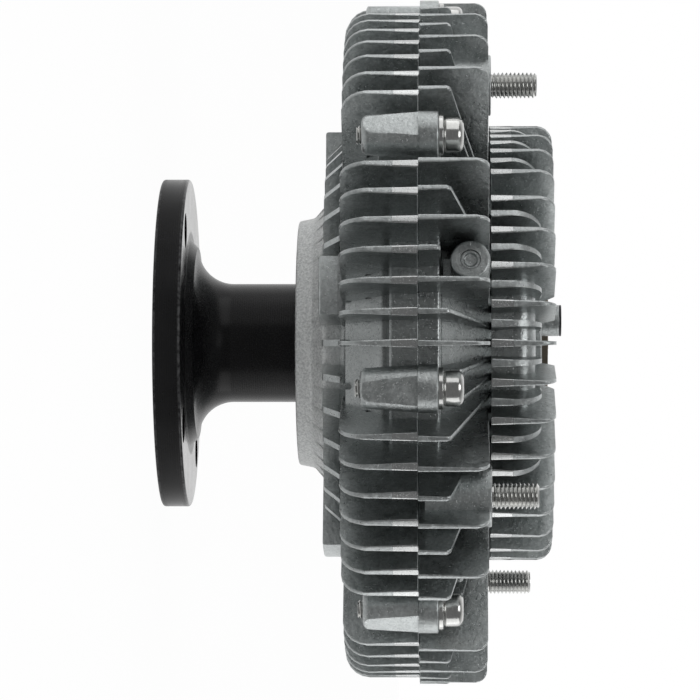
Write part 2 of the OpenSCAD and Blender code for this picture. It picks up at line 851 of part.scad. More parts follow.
// The slot in the post that takes the outer end of the coil.
module coil_slot() {
    end = polar(post_r, post_angle);
    lead = polar(coil_r, coil_end_angle) - end;
    translate([end[0], end[1], z_coil - 0.3])
        rotate([0, 0, atan2(lead[1], lead[0])])
            translate([-1, -coil_t / 2 - 0.15, 0])
                cube([post_d, coil_t + 0.3, z_post - z_coil + past]);
}

module separator_plate() {
    color("#a8acaf")
        difference() {
            ring(0, plate_r, z_joint, plate_t - fit);
            translate([port_r, 0, z_joint - past]) cylinder(d = port_d, h = plate_t + 2 * past);
            around(plugs, plug_angle, passage_r)
                translate([0, 0, z_joint - past])
                    cylinder(d = inlet_d, h = plate_t + 2 * past);
        }
}

module wiper_blocks() {
    color("#3a3a3e")
        around(plugs, plug_angle + 6, chamber_r - 6)
            translate([-4, -3, z_joint - disc_gap + 0.7])
                cube([8, 6, disc_gap - 0.7]);
}

module cover_o_ring() {
    color("#202022")
        translate([0, 0, z_joint + o_ring_d / 2 + fit / 2])
            rotate_extrude()
                translate([o_ring_r, 0])
                    circle(d = o_ring_d);
}

module cover_screw() {
    difference() {
        turned([
            [0, z_joint - rear_boss_len - screw_tip],
            [screw_d / 2 - 0.8, z_joint - rear_boss_len - screw_tip],
            [screw_d / 2, z_joint - rear_boss_len - screw_tip + 0.8],
            [screw_d / 2, z_boss + washer_t],
            [head_d / 2, z_boss + washer_t],
            [head_d / 2, z_boss + washer_t + head_h, 0.8],
            [0, z_boss + washer_t + head_h]
        ]);
        translate([0, 0, z_boss + washer_t + head_h / 2])
            cylinder(r = socket_w / sqrt(3), h = head_h, $fn = 6);
    }
}

module cover_screws() {
    color("#c3c7ca") around(screws, screw_angle, screw_r) cover_screw();
}

module cover_washers() {
    color("#b4b8bb")
        around(screws, screw_angle, screw_r)
            difference() {
                translate([0, 0, z_boss]) cylinder(d = washer_d, h = washer_t - fit);
                translate([0, 0, z_boss - past]) cylinder(d = screw_d + 0.4, h = washer_t + 2 * past);
            }
}

module fan_studs() {
    color("#c8ccce")
        around(studs, stud_angle, stud_pcd / 2)
            turned([
                [0, z_stud],
                [stud_core_r - stud_chamfer, z_stud],
                [stud_core_r, z_stud + stud_chamfer],
                [stud_core_r, z_seat],
                [stud_d / 2, z_seat],
                [stud_d / 2, z_stud_end - stud_chamfer],
                [stud_d / 2 - stud_chamfer, z_stud_end],
                [0, z_stud_end]
            ]);
}

module passage_plugs() {
    color("#74797c")
        around(plugs, plug_angle, plug_boss_r - plug_depth)
            translate([0, 0, z_passage])
                rotate([0, 90, 0])
                    cylinder(d = plug_d, h = plug_depth - 0.4);
}

module valve_bush() {
    color("#9c7f45") ring(valve_r + run, bush_r, z_valve_boss, z_valve_boss_end - z_valve_boss);
}

function coil_path() =
    let (steps = ceil(24 * coil_turns))
    concat(
        [polar(1.2 - valve_r, coil_start_angle), polar(coil_start_r - 1.2, coil_start_angle)],
        [
            for (i = [1 : steps])
                let (turned_by = 360 * coil_turns * i / steps)
                polar(coil_start_r + coil_pitch * turned_by / 360, coil_start_angle + turned_by)
        ],
        [polar(post_r, post_angle)]
    );

module bimetal_coil() {
    path = coil_path();
    color("#6d5a45")
        translate([0, 0, z_coil])
            linear_extrude(coil_w)
                polygon(concat(side(path, coil_t / 2), reversed(side(path, -coil_t / 2))));
}

module coil_cap() {
    color("#17181a")
        rotate([0, 0, post_angle])
            translate([post_r, 0, z_post])
                cylinder(d = post_d, h = cap_t);
}

module valve_shaft() {
    color("#aab0b4")
        difference() {
            turned([
                [0, z_ledge + 0.1],
                [valve_r - 1, z_ledge + 0.1],
                [valve_r - 1, z_ledge + arm_t + 2],
                [valve_r, z_ledge + arm_t + 2],
                [valve_r, z_valve_boss - 1.1],
                [bush_r, z_valve_boss - 1.1],
                [bush_r, z_valve_boss - 0.1],
                [valve_r, z_valve_boss - 0.1],
                [valve_r, z_coil + coil_w + 0.5],
                [0, z_coil + coil_w + 0.5]
            ]);
            ring(valve_r - valve_ring_d, valve_r + past, z_valve_ring, valve_ring_d + 0.2);
            ring(valve_r - 0.8, valve_r + past, z_valve_boss_end + run, clip_t + fit);
            rotate([0, 0, coil_start_angle])
                translate([-valve_r - past, -coil_t / 2 - 0.1, z_coil - 0.2])
                    cube([2 * valve_r + 2 * past, coil_t + 0.2, coil_w + 2]);
        }
}

module valve_arm() {
    z = z_ledge + 0.1;
    color("#b7bcbf")
        difference() {
            union() {
                translate([0, 0, z]) cylinder(r = valve_r + 3, h = arm_t + 1.9);
                translate([0, -arm_w / 2, z]) cube([port_r, arm_w, arm_t]);
                translate([port_r, 0, z]) cylinder(d = max(arm_w, port_d + 4), h = arm_t);
            }
            translate([0, 0, z - past]) cylinder(r = valve_r - 1 + fit, h = arm_t + 2 + 2 * past);
        }
}

module valve_o_ring() {
    color("#202022")
        translate([0, 0, z_valve_ring + valve_ring_d / 2 + 0.1])
            rotate_extrude()
                translate([valve_r - valve_ring_d / 2, 0])
                    circle(d = valve_ring_d - 0.04);
}

module valve_clip() {
    color("#4a4d51")
        difference() {
            ring(valve_r - 0.75, bush_r + 1.2, z_valve_boss_end + run + fit / 2, clip_t);
            rotate([0, 0, coil_start_angle + 90])
                translate([0, -valve_r + 0.9, z_valve_boss_end - past])
                    cube([bush_r + 3, 2 * valve_r - 1.8, 3 * clip_t + 2]);
        }
}

input_flange_shaft();
bearing_inner_ring();
drive_disc();
disc_ring();
bearing_balls();
bearing_cage();
rear_housing();
front_cover();
bearing_outer_ring();
bearing_seal_rear();
bearing_seal_front();
bearing_circlip();
separator_plate();
wiper_blocks();
cover_o_ring();
cover_screws();
cover_washers();
fan_studs();
passage_plugs();
valve_bush();
bimetal_coil();
coil_cap();
valve_shaft();
valve_arm();
valve_o_ring();
valve_clip();
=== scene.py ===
# %% [markdown]
# # A viscous fan clutch
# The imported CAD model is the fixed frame: its axis is +Z and its input flange lies at Z = 0. This script
# dresses that frame. It could repaint every solid as it is, but castings, threads and a wound spring need
# softer and finer shapes than the solids have, so those pieces are made again here, in the same places.

import json
import math

import bmesh
import bpy
from mathutils import Matrix, Vector


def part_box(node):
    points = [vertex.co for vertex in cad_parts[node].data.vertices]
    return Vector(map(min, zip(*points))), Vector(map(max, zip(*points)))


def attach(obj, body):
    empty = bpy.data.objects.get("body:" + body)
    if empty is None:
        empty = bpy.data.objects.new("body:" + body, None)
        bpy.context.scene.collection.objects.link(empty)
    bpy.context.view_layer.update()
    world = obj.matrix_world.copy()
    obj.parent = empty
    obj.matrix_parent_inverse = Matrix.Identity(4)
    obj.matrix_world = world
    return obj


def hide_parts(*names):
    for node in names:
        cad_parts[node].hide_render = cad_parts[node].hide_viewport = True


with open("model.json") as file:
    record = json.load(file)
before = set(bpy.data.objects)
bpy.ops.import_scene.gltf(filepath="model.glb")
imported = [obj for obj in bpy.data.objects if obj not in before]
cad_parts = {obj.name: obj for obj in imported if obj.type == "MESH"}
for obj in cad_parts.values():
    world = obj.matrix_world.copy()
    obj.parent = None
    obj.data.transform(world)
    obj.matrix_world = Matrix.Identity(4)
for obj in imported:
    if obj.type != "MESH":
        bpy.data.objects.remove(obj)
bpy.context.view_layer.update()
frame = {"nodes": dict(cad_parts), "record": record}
MM = 0.001

# %% [markdown]
# ## Sizes
# What the frame can tell is measured from its nodes, so the looks follow the CAD model if it changes.
# Everything here is in millimetres, as on a drawing, and turns into metres only when a mesh is made. FIT is
# the room around a piece that is fitted into another.


# %% Measure the frame
def low(node):
    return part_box(node)[0] / MM


def high(node):
    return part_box(node)[1] / MM


FIT = 0.06
z_flange = 8.6
flange_r = high("input_flange_shaft").x
z_hub = low("rear_housing").z
z_joint = high("rear_housing").z
z_screw_tip = low("cover_screws").z
z_washer = low("cover_washers").z
z_washer_end = high("cover_washers").z
z_head = z_washer_end + FIT
z_head_end = high("cover_screws").z
z_ledge = high("separator_plate").z + FIT
z_stud = low("fan_studs").z
z_stud_end = high("fan_studs").z
z_coil, z_coil_end = low("bimetal_coil").z, high("bimetal_coil").z
z_post = low("coil_cap").z
front_fin_r = high("front_cover").x
rear_fin_r = front_fin_r - 2.0
bearing_r = high("bearing_outer_ring").x + FIT
plate_r = high("separator_plate").x + 2 * FIT
z_bearing, z_bearing_end = low("bearing_outer_ring").z - FIT, high("bearing_outer_ring").z + FIT
print("seam at", round(z_joint, 2), "fins to", round(rear_fin_r, 2), "and", round(front_fin_r, 2))

# %% [markdown]
# ## A way to write node trees
# Materials and Geometry Nodes are graphs. Clicking them together is easy, but typing them node by node gets
# long. So one class wraps a socket and lets Python's operators add the Math nodes, and one method makes any
# other node from its type, its settings and the values or links of its sockets.


# %% Sockets that understand arithmetic
class Socket:
    """An output socket. Sums and products of such sockets add Math nodes to their tree."""

    def __init__(self, board, socket):
        self.board, self.socket = board, socket

    def __add__(self, other):
        return self.board.math("ADD", self, other)

    def __sub__(self, other):
        return self.board.math("SUBTRACT", self, other)

    def __rsub__(self, other):
        return self.board.math("SUBTRACT", other, self)

    def __mul__(self, other):
        return self.board.math("MULTIPLY", self, other)

    def __gt__(self, other):
        return self.board.math("GREATER_THAN", self, other)

    def __lt__(self, other):
        return self.board.math("LESS_THAN", self, other)

    def __abs__(self):
        return self.board.math("ABSOLUTE", self)

    __radd__, __rmul__ = __add__, __mul__


class Made:
    """A node that was just made: its outputs are read by name or number."""

    def __init__(self, board, node):
        self.board, self.node = board, node

    def __getitem__(self, key):
        return Socket(self.board, self.node.outputs[key])


class Board:
    """A node tree that nodes are put on."""

    def __init__(self, tree):
        self.tree = tree

    def make(self, kind, settings=(), inputs=()):
        node = self.tree.nodes.new(kind)
        for name, value in dict(settings).items():
            if name == "stops":
                for stop, (place, shade) in zip(node.color_ramp.elements, value):
                    stop.position, stop.color = place, (*shade, 1)
            else:
                setattr(node, name, value)
        for key, value in dict(inputs).items():
            if isinstance(value, Socket):
                self.tree.links.new(value.socket, node.inputs[key])
            else:
                node.inputs[key].default_value = value
        return Made(self, node)

    def math(self, operation, *values):
        return self.make("ShaderNodeMath", {"operation": operation}, dict(enumerate(values)))["Value"]

    def step(self, value, start, end):
        """A value that runs from 0 at start to 1 at end, and stays there beyond."""
        inputs = {"Value": value, "From Min": start, "From Max": end}
        return self.make("ShaderNodeMapRange", {"clamp": True}, inputs)[0]


print("node helpers ready")

# %% [markdown]
# ## Finishes
# Each finish is a procedural material. All of them read Object coordinates, because every piece has its place
# in its mesh, so a pattern keeps its scale and stays put. Noise at two sizes gives the blotches and the grain
# that keep a surface from looking like plastic.


# %% Common parts of a finish
class Finish(Board):
    """A material under construction, with its place in millimetres."""

    def __init__(self, name):
        self.material = bpy.data.materials.new(name)
        self.material.use_nodes = True
        super().__init__(self.material.node_tree)
        self.shader = self.tree.nodes["Principled BSDF"]
        spot = {0: self.make("ShaderNodeTexCoord")["Object"], "Scale": 1 / MM}
        self.place = self.make("ShaderNodeVectorMath", {"operation": "SCALE"}, spot)[0]
        axes = self.make("ShaderNodeSeparateXYZ", (), {0: self.place})
        self.x, self.y, self.z = axes["X"], axes["Y"], axes["Z"]
        self.radius = self.math("SQRT", self.x * self.x + self.y * self.y)

    def noise(self, scale, detail=3.0, rough=0.55, place=None):
        inputs = {"Vector": place or self.place, "Scale": scale, "Detail": detail, "Roughness": rough}
        return self.make("ShaderNodeTexNoise", {"noise_dimensions": "3D"}, inputs)[0]

    def wrapped_angle(self, first, step):
        """The angle around Z, in degrees, from the nearest of the places that lie a step apart."""
        angle = self.math("ARCTAN2", self.y, self.x) * math.degrees(1)
        return self.math("WRAP", angle - first, step / 2, -step / 2)

    def ramp(self, value, *stops):
        return self.make("ShaderNodeValToRGB", {"stops": stops}, {0: value})[0]

    def blend(self, share, a, b):
        a, b = [(*colour, 1) if isinstance(colour, tuple) else colour for colour in (a, b)]
        return self.make("ShaderNodeMix", {"data_type": "RGBA"}, {0: share, 6: a, 7: b})[2]

    def bump(self, height, depth, under=None):
        inputs = {"Height": height, "Distance": depth * MM, "Strength": 1.0}
        if under is not None:
            inputs["Normal"] = under
        return self.make("ShaderNodeBump", (), inputs)[0]

    def put(self, **inputs):
        for name, value in inputs.items():
            socket = self.shader.inputs[name.replace("_", " ")]
            if isinstance(value, Socket):
                self.tree.links.new(value.socket, socket)
            else:
                socket.default_value = (*value, 1) if isinstance(value, tuple) else value
        return self.material


def plain_finish(name, dark, light, rough, metal, grain=1.2, depth=0.01):
    """A finish with faint blotches, a fine grain and a little change in gloss."""
    f = Finish(name)
    blotch = f.noise(0.11, 4.0)
    fine = f.noise(grain, 4.0, 0.65)
    colour = f.ramp(blotch * 0.65 + fine * 0.35, (0.32, dark), (0.68, light))
    gloss = rough + 0.22 * (fine - 0.5) + 0.12 * (blotch - 0.5)
    return f.put(Base_Color=colour, Roughness=gloss, Metallic=metal, Normal=f.bump(fine, depth))


print("finish helpers ready")

# %% [markdown]
# The two castings are aluminium, grainy where the mould left them and bright where a cutter skimmed the fin
# tips and the stud pads. One finish can show both: a mask made from radius and height picks out the skimmed
# lands, so they sit exactly where a lathe would have cut. Masks of the same kind make the hub pale and
# speckled, and darken the roots between the fins with painted shade. Their limits run from where a mask is 0
# to where it is 1.


# %% Cast aluminium with skimmed lands
SCREWS, SCREW_ANGLE, BOSS_HALF = 8, 7.5, 5.0
FIN_STEP = 5.0
LOW_FINS_ANGLE, LOW_FINS_HALF = -100.0, 31.0
z_seat, SEAT_RADII = 104.0, (82.0, 103.0)
pilot_r = 69.3
skim_depth = 0.22
z_rear_boss = z_joint - 17.0
z_rear_land = z_joint - 7.6
z_drum_land = z_seat + 6.7
z_tier = z_seat - 0.1
HUB_RADII, HUB_HEIGHTS = (60.0, 44.0), (z_hub + 16, z_hub + 9)
ROOT_RADII, z_roots = (99.0, 89.0), z_hub + 14
WALL_RADII, WALL_HEIGHTS = (65.0, 60.5), (z_seat + 13, z_seat + 9)


def within(f, radii, heights):
    """A mask that is 1 inside a ring of radii and heights."""
    return (f.radius > radii[0]) * (f.radius < radii[1]) * (f.z > heights[0]) * (f.z < heights[1])


def rear_skim(f):
    """The lathe skimmed the ends of the rear fins, but left the flats on the bosses as they were cast."""
    between_bosses = abs(f.wrapped_angle(SCREW_ANGLE, 360 / SCREWS)) > BOSS_HALF
    tips = within(f, (rear_fin_r - skim_depth, rear_fin_r + 1), (z_rear_land, z_joint + 1))
    return tips * between_bosses


def front_skim(f):
    """On the front half, the drum's fins and the seats around the studs were skimmed for the fan."""
    long_fin = abs(f.wrapped_angle(0, 2 * FIN_STEP)) < FIN_STEP / 2
    away_from_low = abs(f.wrapped_angle(LOW_FINS_ANGLE, 180)) > LOW_FINS_HALF
    fins = f.math("MAXIMUM", long_fin, away_from_low)
    tips = within(f, (pilot_r - skim_depth, pilot_r + 1), (z_seat, z_drum_land)) * fins
    seats = within(f, SEAT_RADII, (z_seat - 0.05, z_seat + 0.05))
    return f.math("MAXIMUM", tips, seats)


def cast_finish(name, dark, light, skim):
    """Cast metal: sandy and pitted, with bright facets, a pale hub, painted shade in the roots and skimmed
    lands.
    """
    f = Finish(name)
    blotch = f.noise(0.06, 5.0, 0.6)
    cloud = f.noise(0.30, 3.0, 0.6)
    sand = f.noise(0.95, 4.0, 0.6)
    pits = f.step(f.noise(2.6, 2.0), 0.60, 0.72)
    facets = f.step(f.noise(1.7, 1.0), 0.64, 0.70)
    stretched = f.make("ShaderNodeMapping", (), {"Vector": f.place, "Scale": (0.35, 0.35, 9.0)})[0]
    lines = f.noise(1.0, 2.0, 0.5, stretched)

    skimmed = skim(f)
    as_cast = 1 - skimmed
    hub = f.step(f.radius, *HUB_RADII) * f.step(f.z, *HUB_HEIGHTS)
    # Painted shade: these masks mark the roots between the fins and the drum's wall, which are darkened as
    # shade falls there.
    roots = f.step(f.radius, *ROOT_RADII) * (f.z > z_roots) * (f.z < z_tier)
    drum_wall = f.step(f.radius, *WALL_RADII) * (f.z > z_tier) * f.step(f.z, *WALL_HEIGHTS)
    painted_root_shade = f.math("MAXIMUM", roots, drum_wall)

    cast = f.ramp(blotch * 0.3 + cloud * 0.2 + sand * 0.5, (0.36, dark), (0.64, light))
    cast = f.blend(pits * 0.3, cast, tuple(0.55 * v for v in dark))
    cast = f.blend(facets * 0.45, cast, (0.72, 0.74, 0.74))
    speckle = f.ramp(f.noise(1.5, 4.0, 0.72), (0.38, (0.50, 0.51, 0.51)), (0.62, (0.90, 0.91, 0.90)))
    cast = f.blend(hub * 0.75, cast, speckle)
    # Painted shade: the roots between the fins and the drum's wall are blended towards a darker tone of the
    # cast colour.
    cast = f.blend(painted_root_shade * 0.32, cast, tuple(0.35 * v for v in dark))
    bright = f.ramp(lines, (0.3, (0.54, 0.555, 0.555)), (0.7, (0.68, 0.69, 0.685)))
    colour = f.blend(skimmed, cast, bright)

    gloss = 0.38 + 0.20 * (sand - 0.5) + 0.30 * (cloud - 0.5) - 0.12 * facets + 0.10 * hub - 0.08 * painted_root_shade
    gloss = gloss * as_cast + (0.21 + 0.10 * (lines - 0.5)) * skimmed
    waves = f.bump(cloud * as_cast, 0.22)
    rough_skin = f.bump(sand * as_cast, 0.08, waves)
    grained = f.bump(pits * 0.5 + facets * 0.6 * as_cast + lines * skimmed * 0.08, 0.05, rough_skin)
    return f.put(Base_Color=colour, Roughness=gloss, Metallic=1 - 0.6 * hub, Normal=grained)


rear_cast = cast_finish("rear_cast_aluminium", (0.40, 0.425, 0.425), (0.66, 0.69, 0.688), rear_skim)
front_cast = cast_finish("front_cast_aluminium", (0.36, 0.383, 0.383), (0.60, 0.628, 0.626), front_skim)
print("cast finishes:", rear_cast.name, front_cast.name)

# %% [markdown]
# The flange and shaft are forged steel with a black phosphate coat. The lathe's fine grooves show through it
# as rings around the axis, and the colour is lighter in patches along the edges of the flange rim. The other
# finishes differ only in their values, so they stand in a table: slot, name, darkest and lightest colour,
# roughness, metal, and then the scale and depth of the grain where they aren't the usual ones.


# %% Black coated steel and the plain finishes
neck_r = 33.0


def black_steel():
    """A black coat, glossier on the rim and on the front face, and lighter in patches along the rim's edges.
    """
    f = Finish("black_coated_steel")
    blotch = f.noise(0.09, 5.0, 0.6)
    fine = f.noise(2.2, 3.0)
    colour = f.ramp(blotch, (0.3, (0.004, 0.004, 0.0045)), (0.75, (0.010, 0.010, 0.011)))
    from_middle = abs(f.z - z_flange / 2)
    rim = f.step(f.radius, flange_r - 0.9, flange_r - 0.35) * (1 - f.step(from_middle, 2.2, 2.9))
    edge = f.step(f.radius, flange_r - 0.95, flange_r - 0.7) * f.step(from_middle, 3.3, 3.7)
    face = f.step(f.z, z_flange - 0.4, z_flange - 0.1) * f.step(f.radius, neck_r + 2, neck_r + 3)
    # The colour is made lighter in patches along the rim's edges.
    pale_edge_patches = edge * f.step(f.noise(0.5, 4.0), 0.35, 0.6)
    colour = f.blend(pale_edge_patches * 0.55, colour, (0.16, 0.16, 0.165))
    grooves = f.math("SINE", f.z * 9.0 + blotch * 1.5)
    gloss = 0.27 + 0.20 * (fine - 0.5) + 0.12 * (blotch - 0.5) - 0.06 * rim - 0.13 * face
    skin = f.bump(fine * 0.5 + grooves * 0.10, 0.03)
    return f.put(Base_Color=colour, Roughness=gloss, Specular_IOR_Level=0.22, Normal=skin)


PLAIN_FINISHES = [
    ("machined_aluminium", "machined_aluminium", (0.50, 0.515, 0.52), (0.70, 0.71, 0.71), 0.32, 1.0),
    ("plain_steel", "zinc_coated_steel", (0.50, 0.505, 0.50), (0.72, 0.72, 0.70), 0.19, 1.0, 1.6),
    ("bearing_steel", "bearing_steel", (0.56, 0.57, 0.58), (0.68, 0.69, 0.70), 0.18, 1.0, 2.0, 0.003),
    ("spring_steel", "blued_spring_steel", (0.025, 0.026, 0.03), (0.07, 0.07, 0.075), 0.36, 0.8),
    ("cage_brass", "plain_brass", (0.45, 0.33, 0.13), (0.62, 0.47, 0.21), 0.32, 1.0),
    ("bimetal", "bimetal_strip", (0.13, 0.112, 0.09), (0.27, 0.235, 0.19), 0.33, 1.0, 0.8),
    ("black_rubber", "sealing_rubber", (0.012, 0.012, 0.012), (0.026, 0.026, 0.026), 0.62, 0.0),
    ("dark_plastic", "dark_plastic", (0.035, 0.035, 0.04), (0.065, 0.065, 0.07), 0.5, 0.0),
]
FINISHES = {"black_steel": black_steel(), "cast_aluminium": rear_cast}
FINISHES.update({slot: plain_finish(*looks) for slot, *looks in PLAIN_FINISHES})
print("finishes:", ", ".join(FINISHES))

# %% Paint the CAD nodes by their slots
for part in frame["record"]["subparts"]:
    node = frame["nodes"][part["node"]]
    node.data.materials.clear()
    node.data.materials.append(FINISHES[part["material_slot"]])
frame["nodes"]["front_cover"].data.materials[0] = front_cast

# %% [markdown]
# ## Turned shapes and plates
# Nearly every form on the clutch is either turned about an axis or a flat plate that stands on a radius. Two
# helpers make those from an outline of radius and height. A third number on a point rounds that corner, as a
# fillet on a drawing does, which is easier to control than a bevel found by angle.


# %% Outlines, turned meshes and plates
MERGE, ON_AXIS = 1e-8, 1e-6


def polar(r, a, centre=(0, 0)):
    """The X and Y at a radius and an angle from a centre."""
    return (centre[0] + r * math.cos(a), centre[1] + r * math.sin(a))


def oblong(radii, heights):
    """The outline of a plain ring."""
    (r0, r1), (z0, z1) = radii, heights
    return [(r0, z0), (r1, z0), (r1, z1), (r0, z1)]


def rounded(points, steps=5):
    """The outline with each corner that carries a radius replaced by an arc."""
    out = []
    for i, (r, z, *radius) in enumerate(points):
        here = Vector((r, z))
        if not radius:
            out.append(here)
            continue
        to_last = Vector(points[i - 1][:2]) - here
        to_next = Vector(points[(i + 1) % len(points)][:2]) - here
        half = to_last.angle(to_next) / 2
        reach = min(radius[0] / math.tan(half), 0.49 * min(to_last.length, to_next.length))
        u, v = to_last.normalized(), to_next.normalized()
        centre = here + (u + v).normalized() * reach / math.cos(half)
        start, end = here + u * reach - centre, here + v * reach - centre
        sweep = start.angle_signed(end)
        for k in range(steps + 1):
            turn = Matrix.Rotation(-sweep * k / steps, 2)
            out.append(centre + turn @ start)
    return out


def new_object(name, data):
    made = bpy.data.objects.new(name, data)
    bpy.context.scene.collection.objects.link(made)
    return made


def mesh_object(name, bm, merge=MERGE):
    """A new object from a bmesh in metres, closed up and with its faces outwards."""
    bmesh.ops.remove_doubles(bm, verts=bm.verts, dist=merge)
    bmesh.ops.dissolve_degenerate(bm, edges=bm.edges, dist=MERGE)
    bmesh.ops.recalc_face_normals(bm, faces=bm.faces)
    mesh = bpy.data.meshes.new(name)
    bm.to_mesh(mesh)
    bm.free()
    return new_object(name, mesh)


def turned(name, points, centre=(0, 0), sides=180, sweep=360):
    """An outline of radius and height turned about an upright axis at centre."""
    ring = rounded(points)
    full = sweep == 360
    bm = bmesh.new()
    columns = []
    for i in range(sides if full else sides + 1):
        a = math.radians(sweep * i / sides - (0 if full else sweep / 2))
        columns.append([bm.verts.new(Vector((*polar(p.x, a, centre), p.y)) * MM) for p in ring])
    n = len(ring)
    for i in range(sides):
        a, b = columns[i], columns[(i + 1) % len(columns)]
        for k in range(n):
            if ring[k].x < ON_AXIS and ring[(k + 1) % n].x < ON_AXIS:
                continue
            bm.faces.new([a[k], b[k], b[(k + 1) % n], a[(k + 1) % n]])
    if not full:
        bm.faces.new(columns[0])
        bm.faces.new(list(reversed(columns[-1])))
    return mesh_object(name, bm)


def plate(name, outline, heights, thicknesses, soft=0.45):
    """A plate on the +X radius whose thickness changes with height, with its edges softened."""
    (z0, z1), (t0, t1) = heights, thicknesses
    bm = bmesh.new()
    sides = []
    for way in (-0.5, 0.5):
        loop = []
        for p in rounded(outline):
            t = t0 + (t1 - t0) * (p.y - z0) / (z1 - z0)
            loop.append(bm.verts.new(Vector((p.x, way * t, p.y)) * MM))
        sides.append(loop)
    left, right = sides
    bm.faces.new(left)
    bm.faces.new(list(reversed(right)))
    for i in range(len(left)):
        j = (i + 1) % len(left)
        bm.faces.new([left[j], left[i], right[i], right[j]])
    bm.edges.ensure_lookup_table()
    rims = [e for e in bm.edges if any(len(f.verts) > 4 for f in e.link_faces)]
    bmesh.ops.bevel(bm, geom=rims, offset=soft * MM, segments=3, profile=0.5, affect="EDGES",
                    clamp_overlap=True)
    return mesh_object(name, bm)


def block(name, corner, size, soft=0.4):
    """A box from its lowest corner and its size, with softened edges."""
    bm = bmesh.new()
    bmesh.ops.create_cube(bm, size=1.0)
    for v in bm.verts:
        v.co = Vector([(c + s * (x + 0.5)) * MM for c, s, x in zip(corner, size, v.co)])
    bmesh.ops.bevel(bm, geom=bm.edges[:], offset=soft * MM, segments=2, profile=0.5, affect="EDGES")
    return mesh_object(name, bm)


def rod(name, r, z_from, z_to, centre=(0, 0), sides=48, soft=0.0):
    """A round bar along Z, with its top edge rounded."""
    top = (r, z_to, soft) if soft else (r, z_to)
    return turned(name, [(0, z_from), (r, z_from), top, (0, z_to)], centre, sides)


print("shape helpers ready")

# %% [markdown]
# ## Copies around the axis
# Fins, ribs, bosses, screws and studs all stand in rings. An array of objects would do, but Geometry Nodes
# keep the rule in one place: how many copies, where the first one is, and which places stay empty because a
# boss is there. The tree below turns one shape into such a ring, and is used for every ring on the clutch.


# %% The ring tree
GAPS, GAP_PARTS = ("Gap", "Other Gap"), (" First", " Step", " Half")
NO_GAP = (0, 360, -1)


def new_tree(name, inputs):
    """A board for a new Geometry Nodes tree with inputs of these kinds, and the node that gives them."""
    tree = bpy.data.node_groups.new(name, "GeometryNodeTree")
    for label, kind in {"Geometry": "Geometry", **inputs}.items():
        tree.interface.new_socket(label, in_out="INPUT", socket_type="NodeSocket" + kind)
    tree.interface.new_socket("Geometry", in_out="OUTPUT", socket_type="NodeSocketGeometry")
    board = Board(tree)
    return board, board.make("NodeGroupInput")


def ring_tree():
    """A tree that sets copies of a shape around Z, in degrees, and leaves out those near two sets of gaps."""
    floats = ["First", "Step"] + [gap + part for gap in GAPS for part in GAP_PARTS]
    b, given = new_tree("ring_of_copies", {"Count": "Int", **dict.fromkeys(floats, "Float")})
    angle = given["First"] + given["Step"] * b.make("GeometryNodeInputIndex")["Index"]
    kept = []
    for gap in GAPS:
        half = given[gap + " Step"] * 0.5
        away = b.math("WRAP", angle - given[gap + " First"], half, half * -1.0)
        kept.append(abs(away) > given[gap + " Half"])
    copied = {
        "Points": b.make("GeometryNodePoints", (), {"Count": given["Count"]})[0],
        "Selection": kept[0] * kept[1],
        "Instance": given["Geometry"],
        "Rotation": b.make("ShaderNodeCombineXYZ", (), {"Z": b.math("RADIANS", angle)})[0],
    }
    copies = b.make("GeometryNodeInstanceOnPoints", (), copied)[0]
    real = b.make("GeometryNodeRealizeInstances", (), {0: copies})[0]
    b.make("NodeGroupOutput", (), {"Geometry": real})
    return b.tree


RING = ring_tree()


def plain_mesh(made):
    """Bakes an object's modifiers into a plain mesh."""
    bpy.context.view_layer.update()
    baked = bpy.data.meshes.new_from_object(made.evaluated_get(bpy.context.evaluated_depsgraph_get()))
    made.modifiers.clear()
    made.data = baked
    return made


def run_tree(made, tree, values):
    """Runs a tree on an object and keeps the result as its plain mesh."""
    ids = {item.name: item.identifier for item in tree.interface.items_tree if item.in_out == "INPUT"}
    run = made.modifiers.new(tree.name, "NODES")
    run.node_group = tree
    for name, value in values.items():
        run[ids[name]] = value
    return plain_mesh(made)


def ring_of(shape, count, first, gap=NO_GAP, other_gap=NO_GAP):
    """Turns shape into a ring of copies. A gap is its first place, step and half width, in degrees."""
    values = {"Count": count, "First": float(first), "Step": 360 / count}
    for name, places in zip(GAPS, (gap, other_gap)):
        values.update({name + part: float(value) for part, value in zip(GAP_PARTS, places)})
    return run_tree(shape, RING, values)


def fuse(name, solids, cuts, material):
    """Joins solids into one closed skin and cuts holes, then gives it soft, weighted shading."""
    whole = solids[0]
    for others, operation in ((solids[1:], "UNION"), (cuts, "DIFFERENCE")):
        for other in others:
            step = whole.modifiers.new(other.name, "BOOLEAN")
            step.operation, step.solver, step.object = operation, "MANIFOLD", other
    plain_mesh(whole)
    for other in solids[1:] + cuts:
        bpy.data.objects.remove(other)
    return smooth(name, whole, material)


def smooth(name, made, material, angle=35):
    """Smooth shading that keeps edges sharper than angle, with flat faces kept flat."""
    made.name = made.data.name = name
    made.data.materials.clear()
    made.data.materials.append(material)
    made.data.polygons.foreach_set("material_index", [0] * len(made.data.polygons))
    made.data.polygons.foreach_set("use_smooth", [True] * len(made.data.polygons))
    for old in [a for a in made.data.attributes if a.name in ("custom_normal", "sharp_edge")]:
        made.data.attributes.remove(old)
    made.data.set_sharp_from_angle(angle=math.radians(angle))
    weights = made.modifiers.new("weights", "WEIGHTED_NORMAL")
    weights.keep_sharp = True
    plain_mesh(made)
    made.data.name = name
    bm = bmesh.new()
    bm.from_mesh(made.data)
    loose = sum(1 for e in bm.edges if len(e.link_faces) != 2)
    print(name, "triangles:", sum(len(f.verts) - 2 for f in bm.faces), "open edges:", loose)
    bm.free()
    return made


def show(piece, body, slot, *nodes):
    """Lets a finished piece ride on its body in place of its CAD nodes."""
    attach(piece, body)
    if nodes:
        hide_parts(*nodes)


# %% [markdown]
# ## The flange and shaft
# The solid's neck is made of short cones, which would show as bands in a glossy black coat. Here the same
# outline is turned again with a fine arc and with broken edges, and the bolt holes are cut through it.

